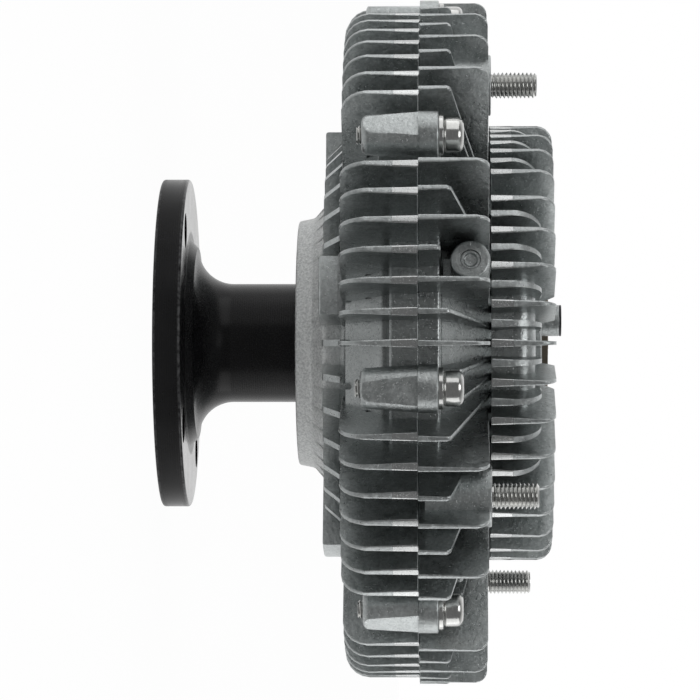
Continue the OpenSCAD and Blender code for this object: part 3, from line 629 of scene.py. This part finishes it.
# %% Flange and shaft
register_r, register_depth = 16, 4
shaft_r, hollow_r = 18.9, 11.5
z_neck = z_flange + 2.4
seat_r, disc_seat_r = 14.94, 12.5
z_shaft_end = high("input_flange_shaft").z
z_snap, snap_w, snap_r = z_shaft_end - 3.5, 1.56, disc_seat_r - 1.0
FLANGE_HOLES, FLANGE_HOLE_ANGLE, flange_hole_ring_r, flange_hole_r = 4, 36.0, 43.5, 5.5
neck_hollow = [
    (shaft_r + hollow_r * (1 - math.sin(a)), z_neck + hollow_r * (1 - math.cos(a)))
    for a in [math.pi / 2 * i / 20 for i in range(21)]
]
flange_outline = [
    (0, register_depth), (register_r, register_depth), (register_r, 0, 0.4), (flange_r, 0, 0.8),
    (flange_r, z_flange, 0.8), (neck_r, z_flange, 1.5), *neck_hollow, (shaft_r, z_bearing),
    (seat_r, z_bearing), (seat_r, z_bearing_end), (disc_seat_r, z_bearing_end), (disc_seat_r, z_snap),
    (snap_r, z_snap), (snap_r, z_snap + snap_w), (disc_seat_r, z_snap + snap_w),
    (disc_seat_r, z_shaft_end - 1), (disc_seat_r - 1, z_shaft_end), (0, z_shaft_end),
]
flange_hole = rod("flange_hole", flange_hole_r, -1, z_flange + 1, (flange_hole_ring_r, 0), 56)
flange_holes = ring_of(flange_hole, FLANGE_HOLES, FLANGE_HOLE_ANGLE)
flange_body = turned("flange", flange_outline, sides=240)
flange = fuse("flange_and_shaft", [flange_body], [flange_holes], FINISHES["black_steel"])
show(flange, "input", "black_steel", "input_flange_shaft")

# %% [markdown]
# ## The rear casting
# The rear half of the housing is a dish around the bearing, with fins outside it, thin gussets on its back
# and eight bosses for the cover screws. It is turned as one body, and the rings are fused to it, so that
# light and shade meet at real roots and the mesh stays one closed skin.

# %% Rear casting
screw_ring_r, screw_hole_r = 102.0, 3.0 + FIT
screw_at = (screw_ring_r, 0)
SCREW_GAP = (SCREW_ANGLE, 360 / SCREWS, 4.5)
PLUG_ANGLE = 75.0
FINS = int(360 / FIN_STEP)
HALF_FINS = FINS // 2
FIN_END_T, REAR_FIN_T, RIB_T = 1.1, 2.6, 2.0
chamber_r, root_r, joint_r = 80.0, 86.0, 91.0
z_floor = z_bearing_end + 2.0
z_web = z_floor - 6.0
z_rear_fin = z_joint - 23.4
z_rib = z_hub + 9.0
hub_r, bore_r = bearing_r + 7.9, 20.4
lip_r, z_lip = bearing_r - 3.5, z_bearing - 1.4
fin_inner_r, fin_wall_r = root_r - 22, root_r - 3
rib_inner_r, rib_top_r, rib_foot_r, rib_outer_r = hub_r - 2, 59, 65, root_r - 10
rear_pad_inner_r, rear_pad_r, z_rear_pad = hub_r + 4, 68.5, z_rib - 0.8
REAR_PADS, REAR_PAD_SWEEP = 4, 15.4
boss_tip_r, boss_foot_r, boss_flat_r = 5.9, 7.0, screw_ring_r + 5.4
LAND_RADII, z_land = [chamber_r - 8 - 5 * i for i in range(5)], z_floor + 6
circlip_r, z_circlip_end = bearing_r + 1.5, z_bearing_end + 2

rear_outline = [
    (bore_r, z_hub, 0.5), (hub_r, z_hub, 1.0), (hub_r + 1, z_hub + 5, 3), (hub_r + 5, z_rib, 3),
    (hub_r + 6, z_web, 3), (root_r - 12, z_web), (root_r, z_web + 11, 3), (root_r, z_joint - 9.5),
    (joint_r, z_joint - 8.5, 1.2), (joint_r, z_joint, 0.2), (chamber_r, z_joint), (chamber_r, z_floor, 2),
    (bearing_r + 6, z_floor), (bearing_r + 5, z_floor + 2), (bearing_r, z_floor + 2),
    (bearing_r, z_bearing), (lip_r, z_bearing), (lip_r, z_lip), (bore_r, z_lip),
]
rear_fin_outline = [
    (fin_inner_r, z_rear_fin), (rear_fin_r, z_rear_fin, 7.5), (rear_fin_r, z_joint), (fin_wall_r, z_joint),
    (fin_wall_r, z_floor), (fin_inner_r, z_floor - 3),
]
rib_outline = [
    (rib_inner_r, z_hub + 2.4), (hub_r + 5.5, z_rib - 0.2, 4), (rib_top_r, z_rib, 2),
    (rib_foot_r, z_rear_fin, 2), (rib_outer_r, z_rear_fin), (rib_outer_r, z_web + 2),
    (rib_inner_r, z_web + 2),
]
rear_boss_outline = [
    (0, z_rear_boss), (boss_tip_r, z_rear_boss, 2), (boss_foot_r, z_joint, 0.2), (0, z_joint),
]
rear_pad_outline = [
    (rear_pad_inner_r, z_rear_pad), (rear_pad_r, z_rear_pad, 0.8), (rear_pad_r, z_web + 2),
    (rear_pad_inner_r, z_web + 2),
]

past_flat = turned("past_flat", oblong((boss_flat_r, boss_flat_r + 8), (z_hub, z_joint + 1)), sides=720)
rear_boss = fuse("rear_boss", [turned("rear_boss", rear_boss_outline, screw_at, 40)], [past_flat], rear_cast)
rear_web = block("rear_web", (screw_ring_r - 17, -4, z_rear_boss + 5), (17, 8, 11.9))
rear_fin = plate("rear_fin", rear_fin_outline, (z_rear_fin, z_joint), (FIN_END_T, REAR_FIN_T))
rib = plate("rib", rib_outline, (z_hub, z_web), (RIB_T, RIB_T), 0.8)
rear_solids = [
    turned("rear_body", rear_outline),
    ring_of(rear_fin, FINS, 0, gap=SCREW_GAP),
    ring_of(rib, HALF_FINS, 0),
    ring_of(rear_web, SCREWS, SCREW_ANGLE),
    ring_of(rear_boss, SCREWS, SCREW_ANGLE),
    ring_of(turned("rear_pad", rear_pad_outline, sides=8, sweep=REAR_PAD_SWEEP), REAR_PADS, PLUG_ANGLE),
    *[turned("land", oblong((r - 1, r + 1), (z_floor - 0.5, z_land))) for r in LAND_RADII],
]
rear_cuts = [
    ring_of(rod("screw_hole", screw_hole_r, z_rear_boss - 1, z_joint + 1, screw_at, 32), SCREWS, SCREW_ANGLE),
    turned("circlip_groove", oblong((bearing_r - 1, circlip_r), (z_bearing_end, z_circlip_end))),
]
rear_casting = fuse("rear_casting", rear_solids, rear_cuts, rear_cast)
show(rear_casting, "housing", "cast_aluminium", "rear_housing")

# %% [markdown]
# ## The front casting
# The front half is a cover with two tiers: a skirt with long and short fins in turn, and a small drum that
# centres the fan, with fins that run over its edge onto its face. Each kind of fin is one plate in one ring.

# %% Front casting, its body and fins
z_ring = z_joint + 6.8
z_front = z_seat + 19.7
z_face, z_recess = z_front - 6.2, z_front - 12.7
z_inside, z_recess_back = z_face - 4.5, z_recess - 4.5
z_bush, z_bush_end = z_recess - 7, z_recess + 3
z_collar = z_face + 2.4
z_passage = z_joint + 15.5
z_long, z_short, z_inner, z_stub = z_joint + 21.2, z_joint + 9.5, z_joint + 13.2, z_joint + 6.6
z_drum_short, drum_short_arc = z_front - 4.3, 9.0
drum_r, recess_r, ledge_r = 59.5, 36.05, 76.0
collar_r = recess_r + 2.6
drum_bore_r = drum_r - 5.0
bush_r, valve_boss_r = 6.0 + FIT, 9.0
inner_fin_r, skirt_r = screw_ring_r - 7.4, chamber_r + 5
FRONT_FIN_T, DRUM_FIN_T = 1.7, 2.6
PLUGS = 2
PLUG_GAP = (PLUG_ANGLE, 360 / PLUGS, 2.0)
DRUM_BARE = (PLUG_ANGLE + 75, 360 / PLUGS, 17.5)
DRUM_SKIPS = (45, 90, 2)

cover_outline = [
    (plate_r, z_joint), (joint_r, z_joint, 0.2), (joint_r, z_ring, 1.2), (chamber_r + 4, z_ring, 3),
    (drum_r + 1, z_seat - 0.6), (drum_r, z_seat), (drum_r, z_face, 5), (collar_r, z_face, 0.6),
    (collar_r, z_collar, 0.5), (recess_r, z_collar, 0.5), (recess_r, z_recess, 2),
    (valve_boss_r, z_recess, 0.8), (valve_boss_r, z_bush_end, 0.5), (bush_r, z_bush_end),
    (bush_r, z_bush), (valve_boss_r, z_bush), (valve_boss_r, z_recess_back),
    (recess_r + 3.5, z_recess_back, 4), (recess_r + 4.5, z_inside), (drum_bore_r, z_inside, 3),
    (drum_bore_r, z_seat - 1), (ledge_r, z_ledge + 2), (ledge_r, z_ledge), (plate_r, z_ledge),
]
fin_root = [(drum_r - 1, z_seat - 8), (ledge_r, z_ring - 1), (skirt_r, z_ring - 1)]
fin_foot = [(skirt_r, z_joint), (front_fin_r, z_joint)]
fin_shoulder = (drum_r - 1, z_seat + 0.6)
long_outline = [*fin_root, *fin_foot, (front_fin_r, z_long, 3.7), (drum_r - 1, z_long)]
short_outline = [*fin_root, *fin_foot, (front_fin_r, z_short, 1.2), fin_shoulder]
inner_outline = [
    *fin_root, (joint_r - 1, z_ring - 1), (inner_fin_r, z_ring + 1), (inner_fin_r, z_inner, 1.2),
    fin_shoulder,
]
stub_outline = [*fin_foot, (front_fin_r, z_stub, 1.2), (skirt_r, z_stub)]
drum_long_outline = [
    (drum_r - 2, z_seat), (pilot_r, z_seat), (pilot_r, z_front, 4.5), (recess_r + 7, z_front, 1.5),
    (recess_r + 3, z_face + 3), (recess_r + 3, z_face - 1), (drum_r - 2, z_face - 3),
]
drum_short_outline = [
    (drum_r - 2, z_seat), (pilot_r, z_seat),
    *[(pilot_r - drum_short_arc * (1 - math.cos(a)), z_drum_short - drum_short_arc * (1 - math.sin(a)))
      for a in [math.pi / 24 * i for i in range(13)]],
    (drum_r - 4, z_drum_short), (drum_r - 4, z_face - 3),
]


def skirt_fin(name, outline):
    return plate(name, outline, (z_joint, z_long), (FRONT_FIN_T, FIN_END_T))


def drum_fin(name, outline):
    return plate(name, outline, (z_seat, z_front), (DRUM_FIN_T, FIN_END_T))


front_solids = [
    turned("cover_body", cover_outline),
    ring_of(skirt_fin("long_fin", long_outline), HALF_FINS, 0, gap=SCREW_GAP),
    ring_of(skirt_fin("short_fin", short_outline), HALF_FINS, FIN_STEP, gap=SCREW_GAP, other_gap=PLUG_GAP),
    *[ring_of(skirt_fin("inner_fin", inner_outline), SCREWS, SCREW_ANGLE + side * FIN_STEP / 2)
      for side in (-1, 1)],
    ring_of(skirt_fin("stub_fin", stub_outline), PLUGS, PLUG_ANGLE),
    ring_of(drum_fin("drum_long_fin", drum_long_outline), HALF_FINS, 0),
    ring_of(drum_fin("drum_short_fin", drum_short_outline), HALF_FINS, FIN_STEP, DRUM_SKIPS, DRUM_BARE),
]
print("front casting's rings:", len(front_solids) - 1)

# %% [markdown]
# Bosses, pads and drilled passages come next. They are fused after the fins, as the pattern maker would add
# them, and the spot faces around the screws are cut last, because a cutter passes through fin and boss alike.

# %% Front casting, its bosses and holes
STUDS, STUD_ANGLE, stud_at = 4, 30.0, (91.5, 0)
stud_pad_r, stud_hole_r, front_boss_r = 9.3, 3.56, 7.2
screw_way_r, spot_face_r = 3.3, 6.4
POST_ANGLE, post_half = math.radians(-103.5), 4.85
post_at = polar(30.0, POST_ANGLE)
plug_r, plug_depth, plug_end_r = 3.0, 6, 95.6
plug_boss_r, plug_boss_flat = 5.9, 3.5
passage_r, inlet_r, inlet_at = 2.0, 1.7, (78, 0)
SEAL_RADII, z_seal_end = (85.85, 88.15), z_joint + 2.16
coil_r, coil_start_r, COIL_TURNS, coil_t = 22.5, 7.5, 3.75, 1.0
COIL_END = POST_ANGLE - math.radians(40)
COIL_START = COIL_END - 2 * math.pi * COIL_TURNS
coil_slot_w = coil_t + 0.3
LAID_ALONG_X = Matrix.Translation((0, 0, z_passage * MM)) @ Matrix.Rotation(math.pi / 2, 4, "Y")


def lying_rod(name, r, x_from, x_to, sides=36, soft=0.0):
    """A round bar along X at the height of the oil passages."""
    made = rod(name, r, x_from, x_to, sides=sides, soft=soft)
    made.data.transform(LAID_ALONG_X)
    return made


def plug_boss():
    """The round boss around a drilled passage, which is flat underneath where it crosses the wall."""
    inner = drum_r + 1
    made = lying_rod("plug_boss", plug_boss_r, inner, plug_end_r, 64, 0.8)
    under = block("under", (inner - 1, -8, z_passage - plug_boss_flat - 14), (15, 16, 14), 0.05)
    return fuse("plug_boss", [made], [under], front_cast)


def coil_slot():
    """The slot in the post that takes the strip's outer end."""
    lead = Vector(polar(coil_r, COIL_END)) - Vector(post_at)
    made = block("coil_slot", (-1, -coil_slot_w / 2, z_coil - 0.3), (9.7, coil_slot_w, 12), 0.02)
    turn = Matrix.Rotation(math.atan2(lead.y, lead.x), 4, "Z")
    made.data.transform(Matrix.Translation(Vector((*post_at, 0)) * MM) @ turn)
    return made


front_boss = rod("front_boss", front_boss_r, z_joint, z_washer, screw_at, 44, 0.5)
front_web = block("front_web", (screw_ring_r - 14, -4.5, z_joint), (14, 9, z_washer - z_joint))
stud_pad = rod("stud_pad", stud_pad_r, z_ledge, z_seat, stud_at, 56, 0.4)
plug_foot = block("plug_foot", (73, -4, z_ring - 1), (10, 8, z_passage - z_ring + 1))
front_solids += [
    ring_of(front_web, SCREWS, SCREW_ANGLE),
    ring_of(front_boss, SCREWS, SCREW_ANGLE),
    ring_of(stud_pad, STUDS, STUD_ANGLE),
    ring_of(plug_boss(), PLUGS, PLUG_ANGLE),
    ring_of(plug_foot, PLUGS, PLUG_ANGLE),
    rod("coil_post", post_half, z_recess - 1, z_post, post_at, 48, 0.3),
]
front_cuts = [
    ring_of(rod("screw_way", screw_way_r, z_joint - 1, z_washer + 1, screw_at, 36), SCREWS, SCREW_ANGLE),
    ring_of(rod("spot_face", spot_face_r, z_washer, z_washer + 22, screw_at, 48), SCREWS, SCREW_ANGLE),
    ring_of(rod("stud_hole", stud_hole_r, z_stud - 0.2, z_seat + 1, stud_at, 36), STUDS, STUD_ANGLE),
    ring_of(lying_rod("oil_passage", passage_r, drum_bore_r - 1, plug_end_r - 4), PLUGS, PLUG_ANGLE),
    ring_of(lying_rod("plug_bore", plug_r + FIT, plug_end_r - plug_depth, plug_end_r + 1), PLUGS, PLUG_ANGLE),
    ring_of(rod("oil_inlet", inlet_r, z_ledge - 1, z_passage, inlet_at, 24), PLUGS, PLUG_ANGLE),
    turned("seal_groove", oblong(SEAL_RADII, (z_joint - 1, z_seal_end))),
    coil_slot(),
]
front_casting = fuse("front_casting", front_solids, front_cuts, front_cast)
show(front_casting, "housing", "cast_aluminium", "front_cover")

# %% [markdown]
# The two drilled passages are shut by pressed cups. A cup has a flat rim and a dished middle, so it is turned
# like the rest and then laid on its side.

# %% Cup plugs
cup_start, cup_end = plug_end_r - plug_depth, plug_end_r - 0.4
cup_outline = [
    (0, cup_start), (plug_r, cup_start), (plug_r, cup_end, 0.25), (2.2, cup_end, 0.2),
    (1.8, cup_end - 0.7, 0.3), (0, cup_end - 0.9),
]
cup = turned("cup", cup_outline, sides=40)
cup.data.transform(LAID_ALONG_X)
cups = smooth("cup_plugs", ring_of(cup, PLUGS, PLUG_ANGLE), front_cast, 40)
show(cups, "housing", "machined_aluminium", "passage_plugs")

# %% [markdown]
# ## Threads
# The studs show their threads plainly. A bump could fake them, but their outline would stay straight. Here
# rows of points follow the helix and are clamped at both ends, so crests and roots are real and the ends are
# flat. A thread is cut to 0.61 of its pitch, with a flat crest and a flat root.


# %% Threaded bars
THREAD_DEPTH, FLANK, CREST = 0.61, 1.15 ** 2, 0.15


def threaded(name, r, pitch, z_from, z_to, chamfer, centre=(0, 0), sides=40, rows=8):
    """A threaded bar with chamfered ends."""
    bm = bmesh.new()
    count = math.ceil((z_to - z_from) / pitch + 2) * rows
    grid = []
    for j in range(count + 1):
        line = []
        for i in range(sides):
            along = z_from + pitch * (j / rows - 1 + i / sides)
            z = min(max(along, z_from), z_to)
            phase = ((z - z_from) / pitch - i / sides) % 1
            dip = max(0.0, min(1.0, FLANK * (1 - abs(2 * phase - 1)) - CREST))
            end = r - chamfer + min(z_to - z, z - z_from)
            here = min(r - THREAD_DEPTH * pitch * dip, end)
            spot = (*polar(here, 2 * math.pi * i / sides, centre), z)
            line.append(bm.verts.new(Vector(spot) * MM))
        grid.append(line)
    for j in range(count):
        for i in range(sides):
            if i + 1 < sides:
                corners = [grid[j][i], grid[j][i + 1], grid[j + 1][i + 1], grid[j + 1][i]]
            elif j + 1 + rows <= count:
                corners = [grid[j][i], grid[j + rows][0], grid[j + 1 + rows][0], grid[j + 1][i]]
            else:
                continue
            bm.faces.new(corners)
    bmesh.ops.remove_doubles(bm, verts=bm.verts, dist=MERGE)
    bmesh.ops.dissolve_degenerate(bm, edges=bm.edges, dist=MERGE)
    rims = [e for e in bm.edges if len(e.link_faces) == 1]
    bmesh.ops.holes_fill(bm, edges=rims, sides=0)
    return mesh_object(name, bm)


STEEL = FINISHES["plain_steel"]
stud_r, stud_pitch, stud_core_r = 4.0, 1.25, 3.45
stud_core = rod("stud_core", stud_core_r, z_stud, z_seat + 0.5, stud_at, 40)
stud_thread = threaded("stud_thread", stud_r, stud_pitch, z_seat, z_stud_end, 0.8, stud_at)
stud = fuse("stud", [stud_thread, stud_core], [], STEEL)
studs = smooth("threaded_studs", ring_of(stud, STUDS, STUD_ANGLE), STEEL, 40)
show(studs, "housing", "plain_steel", "fan_studs")

# %% [markdown]
# The cover screws are smooth socket heads on plain washers. The head is turned with well rounded edges, and
# the hexagon socket is cut out of the first screw before the ring is made.

# %% Socket screws and washers
screw_r, screw_pitch, shank_r = 3.0, 1.0, 2.98
head_r, head_seat_r, head_round = 5.28, 4.9, 2.1
socket_r = 2.5 / math.cos(math.pi / 6)
washer_bore_r, washer_r = 3.2, 6.2
head_outline = [
    (0, z_rear_boss + 1), (shank_r, z_rear_boss + 1), (shank_r, z_head), (head_seat_r, z_head, 0.3),
    (head_r, z_head + 0.7, 0.6), (head_r, z_head_end, head_round), (0, z_head_end),
]
head = turned("screw_head", head_outline, screw_at, 72)
tip = threaded("screw_tip", screw_r, screw_pitch, z_screw_tip, z_rear_boss + 2, 0.6, screw_at, 32)
socket = rod("socket", socket_r, z_head + 3, z_head_end + 1, screw_at, 6)
screw = fuse("screw", [head, tip], [socket], STEEL)
screws = smooth("socket_screws", ring_of(screw, SCREWS, SCREW_ANGLE), STEEL, 40)
show(screws, "housing", "plain_steel", "cover_screws")

washer_outline = [
    (washer_bore_r, z_washer), (washer_r, z_washer, 0.3), (washer_r, z_washer_end, 0.3),
    (washer_bore_r, z_washer_end, 0.2),
]
washer = turned("washer", washer_outline, screw_at, 56)
washers = smooth("plain_washers", ring_of(washer, SCREWS, SCREW_ANGLE), STEEL)
show(washers, "housing", "plain_steel", "cover_washers")

# %% [markdown]
# ## The bimetal coil
# A flat strip wound into a spiral turns the valve as it warms. Geometry Nodes sweep the strip's section along
# a line of points, so the coil keeps its thickness all the way. Its inner end sits in the valve shaft's slot
# and turns with it, so that short stretch is a piece of its own, which slides along the coil as the valve
# moves.


# %% The strip tree and the coil
STRIP_EDGE, STRIP_MERGE = 0.12, 1e-7


def strip_tree():
    """A tree that sweeps an oblong section along the edges of a line of points."""
    b, given = new_tree("strip_along_a_line", {"Thickness": "Float", "Width": "Float"})
    line = b.make("GeometryNodeMeshToCurve", (), {"Mesh": given["Geometry"]})[0]
    upright = b.make("GeometryNodeSetCurveNormal", {"mode": "Z_UP"}, {"Curve": line})[0]
    sizes = {"Width": given["Thickness"], "Height": given["Width"]}
    section = b.make("GeometryNodeCurvePrimitiveQuadrilateral", (), sizes)[0]
    edges = {"Curve": section, "Radius": STRIP_EDGE * MM, "Count": 3}
    section = b.make("GeometryNodeFilletCurve", {"mode": "POLY"}, edges)[0]
    swept = {"Curve": upright, "Profile Curve": section, "Fill Caps": True}
    b.make("NodeGroupOutput", (), {"Geometry": b.make("GeometryNodeCurveToMesh", (), swept)[0]})
    return b.tree


STRIP = strip_tree()


def strip(name, points):
    """A bimetal strip along points of X and Y."""
    mid = (z_coil + z_coil_end) / 2
    mesh = bpy.data.meshes.new(name)
    spots = [Vector((x, y, mid)) * MM for x, y in points]
    mesh.from_pydata(spots, [(i, i + 1) for i in range(len(spots) - 1)], [])
    made = new_object(name, mesh)
    run_tree(made, STRIP, {"Thickness": coil_t * MM, "Width": (z_coil_end - z_coil) * MM})
    bm = bmesh.new()
    bm.from_mesh(made.data)
    bpy.data.objects.remove(made)
    return smooth(name, mesh_object(name, bm, STRIP_MERGE), FINISHES["bimetal"])


COIL_STEPS = 180
winding = []
for i in range(COIL_STEPS + 1):
    r = coil_start_r + (coil_r - coil_start_r) * i / COIL_STEPS
    winding.append(polar(r, COIL_START + (COIL_END - COIL_START) * i / COIL_STEPS))
coil = strip("bimetal_winding", winding + [post_at])
show(coil, "housing", "bimetal", "bimetal_coil")

# The tail runs straight through the slot, bends over two points and joins the start of the winding.
tail = [polar(r, COIL_START) for r in (-2.8, 0.0, 5.6)]
tail += [polar(6.0 + 0.5 * k, COIL_START + 0.02 * k * k) for k in (1, 2)]
tail += [polar(coil_start_r, COIL_START + 0.14)]
coil_tail = strip("bimetal_tail", tail)
show(coil_tail, "valve", "bimetal")

# %% [markdown]
# ## Stage, light and camera
# The part stands in a bright studio: a pale floor under the flange, a soft box on either side of the axis and
# one in front, and a dim side towards the camera, which is what makes metal look dark between its highlights.
# The backdrop is white. DIM is how bright that dim side is.


# %% Floor
DIM = 0.16
WHITE = (1, 1, 1, 1)


def floor_finish():
    """White to the eye, dim towards the camera in reflections, and pale paint to all other light."""
    f = Finish("pale_floor")
    path = f.make("ShaderNodeLightPath")
    eye, glossy = path["Is Camera Ray"], path["Is Glossy Ray"]
    seen = f.math("MAXIMUM", eye, glossy)
    shade = f.math("MAXIMUM", eye, DIM + (1 - DIM) * f.step(f.y, -300.0, 200.0))
    f.put(Base_Color=(0.9, 0.9, 0.9), Roughness=0.9)
    paint = Socket(f, f.shader.outputs[0])
    white = f.make("ShaderNodeEmission", (), {"Color": WHITE, "Strength": shade})[0]
    mixed = f.make("ShaderNodeMixShader", (), {0: seen * 0.97, 1: paint, 2: white})[0]
    f.tree.links.new(mixed.socket, f.tree.nodes["Material Output"].inputs["Surface"])
    return f.material


floor_mesh = bmesh.new()
bmesh.ops.create_circle(floor_mesh, cap_ends=True, segments=96, radius=6.0)
floor = mesh_object("floor", floor_mesh)
floor.location.z = -0.2 * MM
floor.data.materials.append(floor_finish())


# %% World and lights
def studio_world():
    """White to the eye. To the metal it is bright behind and beside the part, and dim on the near side."""
    world = bpy.data.worlds.new("studio")
    world.use_nodes = True
    bpy.context.scene.world = world
    b = Board(world.node_tree)
    b.tree.nodes.clear()
    way = b.make("ShaderNodeTexCoord")["Generated"]
    axes = b.make("ShaderNodeSeparateXYZ", (), {0: way})
    shade = DIM + (1 - DIM) * b.step(axes["Y"], -0.35, 0.75)
    lit = b.make("ShaderNodeBackground", (), {"Color": WHITE, "Strength": shade})[0]
    white = b.make("ShaderNodeBackground", (), {"Color": WHITE, "Strength": 1.0})[0]
    seen = b.make("ShaderNodeLightPath")["Is Camera Ray"]
    mixed = b.make("ShaderNodeMixShader", (), {0: seen, 1: lit, 2: white})[0]
    b.make("ShaderNodeOutputWorld", (), {"Surface": mixed})


def softbox(name, place, aim, size, power):
    lamp = bpy.data.lights.new(name, "AREA")
    lamp.shape, lamp.size, lamp.size_y, lamp.energy = "RECTANGLE", size[0], size[1], power
    made = new_object(name, lamp)
    made.location = place
    made.rotation_euler = (Vector(aim) - Vector(place)).to_track_quat("-Z", "Y").to_euler()


studio_world()
AIM = (0, 0, 0.07)
softbox("softbox_over", (-0.80, -0.32, 0.12), AIM, (1.05, 0.8), 2.5)
softbox("softbox_under", (0.85, -0.10, 0.12), AIM, (0.8, 0.8), 2.0)
softbox("softbox_front", (-0.10, -0.75, 0.75), AIM, (0.5, 0.5), 2.0)
bpy.context.scene.view_settings.view_transform = "Standard"

# %% [markdown]
# The camera stands 1.2 metres off and is rolled so that the axis lies across the picture, at 0.32 millimetres
# to a pixel. AXIS_PX is the pixel of the middle of the flange's back, and EYE_PX is the one straight ahead of
# the eye, so the two set where the eye is. It looks at the picture's centre.

# %% Camera
IMAGE, SCALE = 700, 0.32
FOCAL, SENSOR = 3800, 36.0
EYE_PX = Vector((447, 343))
AXIS_PX = Vector((164, 343))
eye = Vector((0, -FOCAL * SCALE, (EYE_PX.x - AXIS_PX.x) * SCALE)) * MM
forward = Vector(((IMAGE / 2 - EYE_PX.y) / FOCAL, 1, (IMAGE / 2 - EYE_PX.x) / FOCAL)).normalized()
right = forward.cross(Vector((-1, 0, 0))).normalized()
up = right.cross(forward)
camera_data = bpy.data.cameras.new("camera")
camera_data.sensor_width = SENSOR
camera_data.lens = SENSOR * FOCAL / IMAGE
camera = new_object("camera", camera_data)
camera.matrix_world = Matrix.Translation(eye) @ Matrix((right, up, -forward)).transposed().to_4x4()
bpy.context.scene.camera = camera
print("camera at", [round(v, 4) for v in eye], "lens", round(camera_data.lens, 1))
